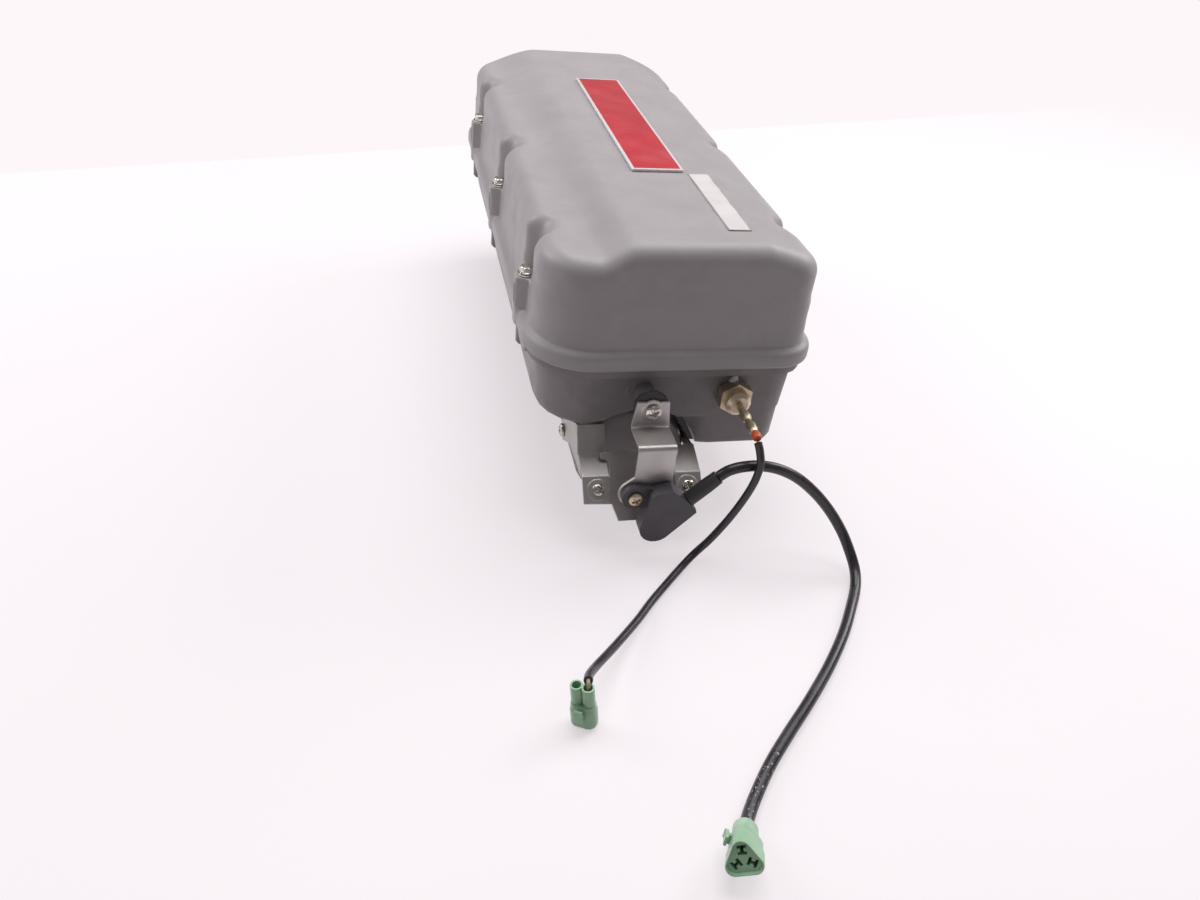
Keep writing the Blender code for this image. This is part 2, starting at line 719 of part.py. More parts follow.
def front_wall(z):
    """How far back the tray's front wall stands at a height."""
    share = (z + RIM_HEIGHT + 0.002) / (TRAY_CORNER - TRAY_DEPTH + RIM_HEIGHT + 0.002)
    return TRAY_HEAD_INSET + share * (TRAY_FOOT_INSET - TRAY_HEAD_INSET)


def make_tray():
    tray = piece("tray", tray_solid(), TRAY_GREY)
    combine(tray, "UNION", cutter("belly_shape", skin(belly_loops(0.0, -BELLY_DEPTH, BELLY_HEAD))))
    combine(tray, "DIFFERENCE", cutter("duct_channel", lengthways_rod(CHANNEL_RADIUS)))
    hollow = cutter("tray_hollow", tray_hollow())
    head = BELLY_HEAD + BELLY_LAP
    inside = skin(belly_loops(BELLY_WALL, TRAY_WALL - BELLY_DEPTH, head, 0.8 * BELLY_WALL))
    combine(hollow, "UNION", cutter("belly_hollow", inside))
    combine(hollow, "DIFFERENCE", cutter("channel_roof", lengthways_rod(CHANNEL_RADIUS + TRAY_WALL)))
    combine(tray, "DIFFERENCE", hollow)
    combine(tray, "UNION", cutter("tray_boss_shapes", tray_bosses()))
    strap_y = front_wall(STRAP_SCREW_Z)
    boss = rod(STRAP_BOSS_RADIUS, TRAY_WALL / 2, STRAP_BOSS_DEPTH)
    inner_boss = placed(boss, (STRAP_X, strap_y, STRAP_SCREW_Z), (0, 1, 0))
    combine(tray, "UNION", cutter("strap_boss", inner_boss))
    for name, x, z in (("strap_pad", STRAP_X, STRAP_SCREW_Z), ("sender_pad", SENDER_X, SENDER_Z)):
        pad = placed(rod(PAD_RADIUS, -PAD_HEIGHT, TRAY_WALL / 2, 20), (x, front_wall(z), z), (0, 1, 0))
        combine(tray, "UNION", cutter(name, pad))
    groove = seal_ring(CLEARANCE, -SEAL_DEPTH - 3 * CLEARANCE, 0.002)
    combine(tray, "DIFFERENCE", cutter("seal_groove", groove))
    screw_hole = rod(STRAP_SCREW_RADIUS + CLEARANCE, -4 * PAD_HEIGHT, 0.8 * STRAP_BOSS_DEPTH)
    sender_hole = rod(SENDER_THREAD + CLEARANCE, -4 * PAD_HEIGHT, 4 * TRAY_WALL)
    roof = CHANNEL_Z + CHANNEL_RADIUS + 5 * TRAY_WALL
    neck_hole = rod(NECK_RADIUS + NECK_SEAL_WALL + 2 * CLEARANCE, CHANNEL_Z, roof, 24)
    holes = [
        placed(screw_hole, (STRAP_X, strap_y, STRAP_SCREW_Z), (0, 1, 0)),
        placed(sender_hole, (SENDER_X, front_wall(SENDER_Z), SENDER_Z), (0, 1, 0)),
        placed(neck_hole, (DUCT_X, LENGTH / 2, 0)),
    ]
    for x, y in SCREW_PLACES:
        depth = INSERT_LENGTH + 2 * CLEARANCE
        holes.append(placed(rod(INSERT_RADIUS + CLEARANCE, -depth, 0.002, 12), (x, y, 0)))
        holes.append(placed(rod(SCREW_RADIUS + CLEARANCE, -1.6 * TRAY_BOSS_DEPTH, 0.0, 12), (x, y, 0)))
    for y in OUTLET_YS:
        bore = rod(OUTLET_BORE, -PARTING_HEIGHT, 2 * TRAY_WALL - BELLY_DEPTH, 24)
        holes.append(placed(bore, (OUTLET_X, y, 0)))
    for i, hole in enumerate(holes):
        combine(tray, "DIFFERENCE", cutter(f"tray_hole_{i}", hole))


def make_seal_and_inserts():
    piece("cover_seal", seal_ring(0.0, -SEAL_DEPTH - 2 * CLEARANCE, -CLEARANCE), BLACK_RUBBER)
    for i, (x, y) in enumerate(SCREW_PLACES, 1):
        insert = tube(SCREW_RADIUS + CLEARANCE, INSERT_RADIUS, -CLEARANCE - INSERT_LENGTH, -CLEARANCE, 12)
        piece(f"tray_insert_{i}", insert, BRASS, (x, y, 0))


# Outlets


def make_outlets():
    """Rubber boots on the belly's spigots, with their clamps, and a folded flame arrester over each bore."""
    spigot = OUTLET_BORE + SPIGOT_WALL
    inner = spigot + CLEARANCE
    outer = inner + BOOT_WALL
    top = -BELLY_DEPTH - CLEARANCE
    floor = -PARTING_HEIGHT
    spigot_end = -BELLY_DEPTH - SPIGOT_LENGTH - CLEARANCE
    boot_profile = [
        (inner, top),
        (outer + 0.0015, top),
        (outer + 0.0015, top - 0.004),
        (outer, top - 0.006),
        (outer, floor + 0.012),
        (BOOT_FOOT_RADIUS, floor + 0.009),
        (BOOT_FOOT_RADIUS, floor),
        (OUTLET_BORE, floor),
        (OUTLET_BORE, spigot_end),
        (inner, spigot_end),
    ]
    band = outer + CLEARANCE
    clamp_low = top - 0.007 - CLAMP_WIDTH
    floor_inside = TRAY_WALL - BELLY_DEPTH + CLEARANCE
    for i, y in enumerate(OUTLET_YS, 1):
        at = (OUTLET_X, y, 0)
        piece(f"outlet_boot_{i}", turned(boot_profile, "joined", 24), BLACK_RUBBER, at)
        clamp = tube(band, band + CLAMP_THICKNESS, clamp_low, clamp_low + CLAMP_WIDTH, 24)
        ring = piece(f"boot_clamp_{i}", clamp, STAINLESS, at)
        lug = rod(CLAMP_LUG_RADIUS, -CLAMP_LUG_LENGTH / 2, CLAMP_LUG_LENGTH / 2, 10)
        placed(lug, (0, band + CLAMP_LUG_RADIUS, clamp_low + CLAMP_WIDTH / 2), (1, 0, 0))
        combine(ring, "UNION", cutter(f"clamp_lug_{i}", lug, at))
        piece(f"flame_arrester_{i}", arrester_cup(floor_inside), WIRE_MESH, at)


def arrester_cup(foot):
    """A cup of folded mesh, open below, on a flat flange."""
    count = 2 * ARRESTER_FOLDS
    turn = 2 * np.pi * np.arange(count) / count
    fold = np.where(np.arange(count) % 2 == 0, 0.0, ARRESTER_FOLD_DEPTH)

    def star(grow, z):
        reach = OUTLET_BORE - 0.0045 + fold + grow
        return np.column_stack((reach * np.cos(turn), reach * np.sin(turn), np.full(count, z)))

    top = foot + ARRESTER_HEIGHT
    flange = OUTLET_BORE + 0.002
    loops = [
        star(0.0, top - ARRESTER_SHEET),
        star(0.0, foot),
        circle(flange, foot, count),
        circle(flange, foot + ARRESTER_SHEET, count),
        star(ARRESTER_SHEET, foot + 2 * ARRESTER_SHEET),
        star(ARRESTER_SHEET, top),
    ]
    return skin(loops)


# Inlet duct


def make_duct():
    """A round duct, closed in front and open at the back, with a neck up into the tray."""
    bore = DUCT_RADIUS - DUCT_WALL
    back = LENGTH - DUCT_BACK_INSET
    rings = [
        (bore - 0.004, DUCT_FRONT + DUCT_WALL),
        (bore, DUCT_FRONT + DUCT_WALL + 0.005),
        (bore, back),
        (DUCT_RADIUS, back),
        (DUCT_RADIUS, DUCT_FRONT + 0.006),
        (DUCT_RADIUS - 0.002, DUCT_FRONT + 0.002),
        (DUCT_RADIUS - 0.006, DUCT_FRONT),
    ]
    body = placed(turned(rings, "capped", 32), (DUCT_X, 0, DUCT_Z), (0, 1, 0))
    duct = piece("inlet_duct", body, BLACK_PLASTIC)
    neck = placed(rod(NECK_RADIUS, DUCT_Z + 0.75 * DUCT_RADIUS, NECK_TOP, 24), (DUCT_X, LENGTH / 2, 0))
    combine(duct, "UNION", cutter("duct_neck", neck))
    for side in (-1, 1):
        reach = DUCT_RADIUS - DUCT_WALL / 2
        boss = rod(DUCT_BOSS_RADIUS, reach - DUCT_BOSS_LENGTH, reach, 16)
        placed(boss, (DUCT_X, SIDE_BOLT_Y, DUCT_Z), (side, 0, 0))
        combine(duct, "UNION", cutter(f"duct_boss_{side}", boss))
    holes = [placed(rod(NECK_RADIUS - DUCT_WALL, DUCT_Z, 0.0, 24), (DUCT_X, LENGTH / 2, 0))]
    for side in (-1, 1):
        hole = rod(SIDE_BOLT_RADIUS + CLEARANCE, DUCT_RADIUS - DUCT_BOSS_LENGTH, DUCT_RADIUS + 0.005, 12)
        holes.append(placed(hole, (DUCT_X, SIDE_BOLT_Y, DUCT_Z), (side, 0, 0)))
    for i, hole in enumerate(holes):
        combine(duct, "DIFFERENCE", cutter(f"duct_hole_{i}", hole))
    roof = CHANNEL_Z + math.sqrt(CHANNEL_RADIUS**2 - (DUCT_X - CHANNEL_X) ** 2)
    low = roof - 0.002
    inside = NECK_RADIUS + CLEARANCE
    ring = tube(inside, inside + NECK_SEAL_WALL, low, low + NECK_SEAL_HEIGHT, 24)
    piece("neck_seal", ring, BLACK_RUBBER, (DUCT_X, LENGTH / 2, 0))


# Sheet-metal brackets


def bent_path(points, radius=BEND_RADIUS, steps=3):
    """Points along a path in the (y, z) plane with each bend rounded, and the sheet's normal at each."""
    corner_points = [Vector(p) for p in points]
    path = [corner_points[0]]
    for before, here, after in zip(corner_points, corner_points[1:], corner_points[2:]):
        back, on = (before - here).normalized(), (after - here).normalized()
        half = math.acos(max(-1.0, min(1.0, back.dot(on)))) / 2
        run = radius / math.tan(half)
        for i in range(steps + 1):
            share = i / steps
            start, stop = here + run * back, here + run * on
            path.append((1 - share) ** 2 * start + 2 * share * (1 - share) * here + share**2 * stop)
    path.append(corner_points[-1])
    return path


def normals(path):
    found = []
    for i in range(len(path)):
        run = (path[min(i + 1, len(path) - 1)] - path[max(i - 1, 0)]).normalized()
        found.append(Vector((run.y, -run.x)))
    return found


def strip(path, lefts, rights, thickness=SHEET):
    """A bent strip of sheet along a path in the (y, z) plane, between two x values at each point."""
    loops = []
    for point, normal, left, right in zip(path, normals(path), lefts, rights):
        near, far = point - normal * thickness / 2, point + normal * thickness / 2
        loops.append([(left, *near), (right, *near), (right, *far), (left, *far)])
    return skin(loops)


def emboss(radius=EMBOSS_RADIUS):
    """A low round pad that stands out of the sheet round a screw."""
    profile = [
        (radius, 0.0004 - SHEET / 2),
        (radius, SHEET / 2 + 0.2 * EMBOSS_HEIGHT),
        (radius - EMBOSS_BEVEL, SHEET / 2 + EMBOSS_HEIGHT),
    ]
    return turned(profile, sides=16)


def make_strap():
    """A strap with a tab on the tray, a shelf and a leg that ends in a round ear."""
    path = bent_path(
        [
            (STRAP_TAB_Y, STRAP_TOP),
            (STRAP_TAB_Y, STRAP_SHELF),
            (STRAP_LEG_Y, STRAP_SHELF),
            (STRAP_LEG_Y, STRAP_LEG_END + 0.010),
        ]
    )
    foot = SENSOR_BOLT_Z - EAR_RADIUS
    down = np.linspace(STRAP_LEG_END + 0.004, foot + 0.0002, 9)
    path += [Vector((STRAP_LEG_Y, z)) for z in down]
    half = STRAP_WIDTH / 2
    lefts, rights = [], []
    for point in path:
        z = point.y
        chord = math.sqrt(max(EAR_RADIUS**2 - (z - SENSOR_BOLT_Z) ** 2, 0.0))
        top_round = 0.002 if z > STRAP_TOP - 0.0005 and point.x > STRAP_LEG_Y + 0.01 else 0.0
        left, right = STRAP_X - half + top_round, STRAP_X + half - top_round
        if point.x < STRAP_LEG_Y + 0.001 and z < SENSOR_BOLT_Z + EAR_RADIUS:
            left = min(left, SENSOR_BOLT_X - chord)
        if z < STRAP_LEG_END:
            left = SENSOR_BOLT_X - chord
            share = (STRAP_LEG_END - z) / (STRAP_LEG_END - foot)
            right = max(SENSOR_BOLT_X + chord, (1 - 3 * share) * right + 3 * share * SENSOR_BOLT_X)
        lefts.append(left)
        rights.append(right)
    strap = piece("strap_bracket", strip(path, lefts, rights), STAINLESS)
    pad = placed(emboss(), (STRAP_X, STRAP_TAB_Y, STRAP_SCREW_Z), (0, -1, 0))
    combine(strap, "UNION", cutter("strap_emboss", pad))
    screw_hole = rod(STRAP_SCREW_RADIUS + CLEARANCE, -0.01, 0.01)
    bolt_hole = rod(SENSOR_BOLT_RADIUS + CLEARANCE, -0.01, 0.01)
    holes = [
        placed(screw_hole, (STRAP_X, STRAP_TAB_Y, STRAP_SCREW_Z), (0, 1, 0)),
        placed(bolt_hole, (SENSOR_BOLT_X, STRAP_LEG_Y, SENSOR_BOLT_Z), (0, 1, 0)),
    ]
    for i, hole in enumerate(holes):
        combine(strap, "DIFFERENCE", cutter(f"strap_hole_{i}", hole))
    wall = front_wall(STRAP_SCREW_Z) - PAD_HEIGHT - CLEARANCE
    back = STRAP_TAB_Y + SHEET / 2 + CLEARANCE
    long = wall - back
    bore = STRAP_SCREW_RADIUS + CLEARANCE
    shape = [
        (bore + 0.0012, 0.0),
        (0.8 * DAMPER_RADIUS, 0.0),
        (DAMPER_RADIUS, 0.3 * long),
        (DAMPER_RADIUS, 0.7 * long),
        (0.8 * DAMPER_RADIUS, long),
        (bore + 0.0012, long),
        (bore, long - 0.001),
        (bore, 0.001),
    ]
    damper = placed(turned(shape, "joined", 16), (STRAP_X, back, STRAP_SCREW_Z), (0, 1, 0))
    piece("strap_damper", damper, BLACK_RUBBER)
    front = STRAP_TAB_Y - SHEET / 2 - EMBOSS_HEIGHT - CLEARANCE
    screw = pan_screw(STRAP_SCREW_RADIUS, STRAP_SCREW_LENGTH, STRAP_SCREW_HEAD)
    piece("strap_screw", placed(screw, (STRAP_X, front, STRAP_SCREW_Z), (0, -1, 0)), STAINLESS)


def pan_screw(radius, length, head):
    """A pan-head screw whose head sits on its own plane z = 0 and whose shank points down."""
    return turned(
        [
            (0.7 * radius, -length),
            (radius, 0.001 - length),
            (radius, 0.0),
            (head, 0.0),
            (head, 0.35 * head),
            (0.8 * head, 0.58 * head),
            (0.45 * head, 0.68 * head),
        ],
        sides=14,
    )


def saddle_point(along, out=0.0):
    """A point on the saddle's slope: along runs down and forward from the screws, out is off the sheet."""
    run = Vector((-math.cos(SADDLE_SLOPE), -math.sin(SADDLE_SLOPE)))
    normal = Vector((-math.sin(SADDLE_SLOPE), math.cos(SADDLE_SLOPE)))
    return Vector((SADDLE_Y, SADDLE_Z)) + along * run + out * normal


def make_side_bracket(name, side, raised):
    """A side plate on the duct with a web folded inwards, which ends in a sloped tab."""
    plate_in = DUCT_RADIUS + CLEARANCE
    plate_out = plate_in + SHEET
    tab_head, tab_foot = saddle_point(-BRACKET_TAB / 2), saddle_point(BRACKET_TAB / 2)
    shelf = tab_head + Vector(BRACKET_SHELF)
    axis = Vector((0, DUCT_Z))
    head = axis + Vector(BRACKET_HEAD) if raised else shelf + Vector(BRACKET_LIP)
    path = bent_path([head, shelf, tab_head, tab_foot])
    inner = SADDLE_SPAN - BRACKET_WIDTH / 2
    ends = sorted((DUCT_X + side * inner, DUCT_X + side * (plate_out - 0.0004)))
    bracket = piece(name, strip(path, [ends[0]] * len(path), [ends[1]] * len(path)), STAINLESS)
    edge = np.concatenate(
        (
            [tuple(tab_head + Vector((SHEET / 2, -0.75 * SHEET))), tuple(axis + Vector(BRACKET_KNEE))],
            arc((SIDE_BOLT_Y, DUCT_Z), BRACKET_END_RADIUS, -90, 70, 6),
            [tuple(head + Vector((2.5 * SHEET, -SHEET))), tuple(head), tuple(shelf)],
        )
    )
    faces = [DUCT_X + side * plate_in, DUCT_X + side * plate_out]
    plate = skin([[(x, y, z) for y, z in edge] for x in faces])
    combine(bracket, "UNION", cutter(f"{name}_plate", plate))
    slope = (0, -math.sin(SADDLE_SLOPE), math.cos(SADDLE_SLOPE))
    middle = (DUCT_X + side * SADDLE_SPAN, *saddle_point(0.0))
    combine(bracket, "UNION", cutter(f"{name}_emboss", placed(emboss(), middle, slope)))
    screw_hole = rod(TAB_SCREW_RADIUS + CLEARANCE, -0.01, 0.01, 12)
    bolt_hole = rod(SIDE_BOLT_RADIUS + CLEARANCE, plate_in - 0.01, plate_out + 0.01, 12)
    holes = [
        placed(screw_hole, middle, slope),
        placed(bolt_hole, (DUCT_X, SIDE_BOLT_Y, DUCT_Z), (side, 0, 0)),
    ]
    for i, hole in enumerate(holes):
        combine(bracket, "DIFFERENCE", cutter(f"{name}_hole_{i}", hole))


def make_brackets():
    slope = Vector((0, -math.sin(SADDLE_SLOPE), math.cos(SADDLE_SLOPE)))
    for name, side in (("left", -1), ("right", 1)):
        make_side_bracket(f"side_bracket_{name}", side, side < 0)
        bolt_at = (DUCT_X + side * (DUCT_RADIUS + 2 * CLEARANCE + SHEET), SIDE_BOLT_Y, DUCT_Z)
        bolt = pan_screw(SIDE_BOLT_RADIUS, SIDE_BOLT_LENGTH, SIDE_BOLT_HEAD)
        piece(f"side_bolt_{name}", placed(bolt, bolt_at, (side, 0, 0)), STAINLESS)
        lift = SHEET / 2 + EMBOSS_HEIGHT + CLEARANCE
        screw_at = (DUCT_X + side * SADDLE_SPAN, *saddle_point(0.0, lift))
        screw = pan_screw(TAB_SCREW_RADIUS, TAB_SCREW_LENGTH, TAB_SCREW_HEAD)
        piece(f"saddle_screw_{name}", placed(screw, screw_at, slope), STAINLESS)
    ear = (SADDLE_SPAN + BRACKET_WIDTH / 2) / SADDLE_SPAN
    shares = (
        (-0.545, 0.89),
        (-0.448, 0.875),
        (-0.431, 0.70),
        (-0.175, 0.70),
        (-0.158, ear),
        (0.192, ear),
        (0.208, 0.70),
        (0.455, 0.58),
    )
    path = [saddle_point(along * SADDLE_LENGTH, -SHEET - CLEARANCE) for along, _ in shares]
    lefts = [DUCT_X - half * SADDLE_SPAN for _, half in shares]
    rights = [DUCT_X + half * SADDLE_SPAN for _, half in shares]
    saddle = piece("saddle_plate", strip(path, lefts, rights), STAINLESS)
    for side in (-1, 1):
        at = (DUCT_X + side * SADDLE_SPAN, *saddle_point(0.0))
        hole = placed(rod(TAB_SCREW_RADIUS + CLEARANCE, -0.01, 0.01, 12), at, slope)
        combine(saddle, "DIFFERENCE", cutter(f"saddle_hole_{side}", hole))


# Position sensor


def make_sensor():
    """A flat sensor with a round nose, an ear on the strap's bolt and a gland for its lead."""
    back = STRAP_LEG_Y - SHEET / 2 - CLEARANCE
    gland = math.radians(45)
    run = Vector((math.cos(gland), math.sin(gland)))
    across = Vector((-run.y, run.x))
    strap = Vector((STRAP_X, 0))
    seat = strap + Vector(GLAND_SEAT)
    near, far = seat - GLAND_FACE / 2 * across, seat + GLAND_FACE / 2 * across
    shoulder, brow = strap + Vector(SENSOR_SHOULDER), strap + Vector(SENSOR_BROW)
    flat = np.concatenate(
        (
            arc(strap + Vector(SENSOR_CROWN), SENSOR_CROWN_RADIUS, 90, 190, 4),
            arc(strap + Vector(SENSOR_NOSE), SENSOR_NOSE_RADIUS, 175, 310, 8),
            [tuple(shoulder), tuple(near), tuple(far), tuple(brow)],
        )
    )
    sensor = piece("sensor_body", upright(flat, back - SENSOR_EAR_THICKNESS / 10, -SENSOR_REACH), BLACK_PLASTIC)
    bolt_at = np.array((SENSOR_BOLT_X, SENSOR_BOLT_Z))
    ear = np.concatenate(
        (
            arc(bolt_at, SENSOR_EAR_RADIUS, 80, 290, 10),
            bolt_at + np.array(((2.0, -1.33), (2.0, 0.67))) * SENSOR_EAR_RADIUS,
        )
    )
    combine(sensor, "UNION", cutter("sensor_ear", upright(ear, back, back - SENSOR_EAR_THICKNESS)))
    bore = SENSOR_BOLT_RADIUS + CLEARANCE
    hole = placed(rod(bore, -0.02, 0.02), (SENSOR_BOLT_X, back, SENSOR_BOLT_Z), (0, 1, 0))
    combine(sensor, "DIFFERENCE", cutter("sensor_hole", hole))
    front = back - SENSOR_EAR_THICKNESS - CLEARANCE
    bolt = pan_screw(SENSOR_BOLT_RADIUS, SENSOR_BOLT_LENGTH, SENSOR_BOLT_HEAD)
    piece("sensor_bolt", placed(bolt, (SENSOR_BOLT_X, front, SENSOR_BOLT_Z), (0, -1, 0)), BRASS)
    nut_front = STRAP_LEG_Y + SHEET / 2 + CLEARANCE
    nut_loops = [
        circle(bore, 0.0, 12),
        hexagon(NUT_ACROSS, 0.0),
        hexagon(NUT_ACROSS, NUT_HEIGHT),
        circle(bore, NUT_HEIGHT, 12),
    ]
    nut = placed(skin(nut_loops, "joined"), (SENSOR_BOLT_X, nut_front, SENSOR_BOLT_Z), (0, 1, 0))
    piece("sensor_nut", nut, STAINLESS)
    start = seat + CLEARANCE * run
    shape = [
        (SENSOR_GLAND_RADIUS, 0.0),
        (SENSOR_GLAND_RADIUS, 0.6 * SENSOR_GLAND_LENGTH),
        (0.92 * SENSOR_GLAND_RADIUS, SENSOR_GLAND_LENGTH),
    ]
    middle = -SENSOR_REACH + SENSOR_GLAND_RADIUS + 0.0005
    boot = placed(turned(shape), (start.x, middle, start.y), (run.x, 0, run.y))
    piece("sensor_gland", boot, BLACK_RUBBER)


def upright(points, back, front):
    """An outline in the (x, z) plane given a thickness along y."""
    return skin([[(x, y, z) for x, z in points] for y in (back, front)])


# Temperature sender


def make_sender():
    """A hexagon body screwed into the tray's front, with a collar, a stem, a crimped terminal and a seal."""
    base = front_wall(SENDER_Z) - PAD_HEIGHT - CLEARANCE
    washer_front = base - SENDER_WASHER_THICKNESS
    ring = tube(SENDER_THREAD + CLEARANCE, SENDER_WASHER_RADIUS, 0.0, SENDER_WASHER_THICKNESS)
    piece("sender_washer", placed(ring, (SENDER_X, washer_front, SENDER_Z), (0, 1, 0)), BRASS)
    hex_back = washer_front - CLEARANCE
    long = SENDER_HEX_LENGTH
    loops = [
        circle(0.8 * SENDER_PROBE_RADIUS, -SENDER_PROBE_LENGTH, 12),
        circle(SENDER_PROBE_RADIUS, -0.92 * SENDER_PROBE_LENGTH, 12),
        circle(SENDER_PROBE_RADIUS, -1.08 * SENDER_THREAD_LENGTH, 12),
        circle(SENDER_THREAD, -SENDER_THREAD_LENGTH, 12),
        circle(SENDER_THREAD, 0.0, 12),
        hexagon(SENDER_HEX_ACROSS, 0.0),
        hexagon(SENDER_HEX_ACROSS, long),
        circle(SENDER_COLLAR_RADIUS, long, 12),
        circle(SENDER_COLLAR_RADIUS, long + 0.7 * SENDER_COLLAR_LENGTH, 12),
        circle(0.7 * SENDER_COLLAR_RADIUS, long + SENDER_COLLAR_LENGTH, 12),
    ]
    forward = Vector((0, 0, 1)).rotation_difference(Vector((0, -1, 0)))
    turn = forward @ Matrix.Rotation(math.pi / 6, 3, "Z").to_quaternion()
    piece("sender_body", skin(loops), BRASS, (SENDER_X, hex_back, SENDER_Z), turn)
    stem_start = hex_back - SENDER_HEX_LENGTH - SENDER_COLLAR_LENGTH - CLEARANCE
    long = SENDER_STEM_LENGTH
    radius = SENDER_STEM_RADIUS
    stem = [
        (radius, 0.0),
        (radius, 0.30 * long),
        (1.35 * radius, 0.34 * long),
        (1.35 * radius, 0.48 * long),
        (0.85 * radius, 0.54 * long),
        (0.85 * radius, 0.66 * long),
        (1.25 * radius, 0.72 * long),
        (1.25 * radius, 0.92 * long),
        (0.9 * radius, long),
    ]
    terminal = turned(stem, sides=12)
    piece("sender_terminal", placed(terminal, (SENDER_X, stem_start, SENDER_Z), (0, -1, 0)), BRASS)
    start = stem_start - SENDER_STEM_LENGTH - CLEARANCE
    long = SENDER_SEAL_LENGTH
    profile = [
        (0.8 * radius, 0.0),
        (1.2 * radius, 0.25 * long),
        (1.2 * radius, 0.8 * long),
        (0.9 * radius, long),
    ]
    seal = turned(profile, sides=12)
    piece("sender_wire_seal", placed(seal, (SENDER_X, start, SENDER_Z), (0, -1, 0)), ORANGE_SEAL)


# Leads

SENSOR_ROUTE = (
    (0.0236, -0.0453, -0.0544),
    (0.0300, -0.0454, -0.0496),
    (0.0397, -0.0455, -0.0470),
    (0.0521, -0.0460, -0.0467),
    (0.0653, -0.0470, -0.0497),
    (0.0794, -0.0485, -0.0569),
    (0.0938, -0.0510, -0.0686),
    (0.1063, -0.0545, -0.0819),
    (0.1169, -0.0600, -0.0964),
    (0.1230, -0.0680, -0.1085),
    (0.1250, -0.0790, -0.1175),
    (0.1205, -0.0920, -0.1209),
    (0.1100, -0.1090, -0.1212),
    (0.0940, -0.1320, -0.1212),
    (0.0735, -0.1565, -0.1212),
    (0.0510, -0.1800, -0.1212),
    (0.0300, -0.2003, -0.1212),
    (0.0115, -0.2190, -0.1212),
    (-0.0035, -0.2370, -0.1212),
    (-0.0115, -0.2480, -0.1208),
    (-0.0157, -0.2549, -0.1191),
)

SENDER_ROUTE = (
    (0.0441, -0.0484, -0.0257),
    (0.0456, -0.0502, -0.0302),
    (0.0469, -0.0533, -0.0380),
    (0.0466, -0.0541, -0.0440),
    (0.0452, -0.0535, -0.0560),
    (0.0416, -0.0512, -0.0725),
    (0.0348, -0.0495, -0.0908),
    (0.0248, -0.0497, -0.1076),
    (0.0165, -0.0505, -0.1175),
    (0.0065, -0.0575, -0.1213),
    (-0.0089, -0.0727, -0.1219),
    (-0.0245, -0.0890, -0.1219),
    (-0.0396, -0.1080, -0.1185),
    (-0.0608, -0.1337, -0.1110),
    (-0.0761, -0.1531, -0.1025),
    (-0.0848, -0.1655, -0.0955),
    (-0.0874, -0.1697, -0.0918),
)


def smooth_points(route, spacing):
    """Points at even steps along a smooth curve through the route."""
    knots = np.array(route)
    knots = np.vstack((2 * knots[0] - knots[1], knots, 2 * knots[-1] - knots[-2]))
    fine = []
    for a, b, c, d in zip(knots, knots[1:], knots[2:], knots[3:]):
        for share in np.linspace(0, 1, 24, endpoint=False):
            fine.append(0.5 * (2 * b + (c - a) * share + (2 * a - 5 * b + 4 * c - d) * share**2
                               + (3 * b - 3 * c + d - a) * share**3))
    fine.append(knots[-2])
    fine = np.array(fine)
    walked = np.concatenate(([0.0], np.cumsum(np.linalg.norm(np.diff(fine, axis=0), axis=1))))
    wanted = np.linspace(0, walked[-1], max(2, round(walked[-1] / spacing)) + 1)
    print(f"lead of {walked[-1] * 1000:.0f} mm with {len(wanted)} points")
    return np.column_stack([np.interp(wanted, walked, fine[:, i]) for i in range(3)])


def make_lead(name, route, diameter):
    points = smooth_points(route, 1.2 * diameter)
    data = bpy.data.curves.new(name, "CURVE")
    data.dimensions = "3D"
    data.bevel_depth = diameter / 2
    data.bevel_resolution = 2
    data.use_fill_caps = True
    line = data.splines.new("POLY")
    line.points.add(len(points) - 1)
    line.points.foreach_set("co", np.column_stack((points, np.ones(len(points)))).ravel())
    data.materials.append(BLACK_RUBBER)
    lead = bpy.data.objects.new(name, data)
    lead.parent = datum
    bpy.context.scene.collection.objects.link(lead)


# Connectors


def frame_of(axis, side):
    """A turn whose +Z runs along axis and whose +X lies as near to side as it can."""
    z = Vector(axis).normalized()
    x = Vector(side) - Vector(side).dot(z) * z
    x.normalize()
    y = z.cross(x)
    return Matrix((x, y, z)).transposed()


def triangle(reach, height, rounding=0.45):
    """A rounded triangle with a flat side towards +X."""
    parts = []
    for i in range(3):
        middle = math.radians(60 + 120 * i)
        radius = rounding * reach
        centre = ((reach - radius) * math.cos(middle), (reach - radius) * math.sin(middle))
        parts.append(arc(centre, radius, 120 * i, 120 * i + 120, 4))
    flat = np.concatenate(parts)
    return np.column_stack((flat, np.full(len(flat), height)))


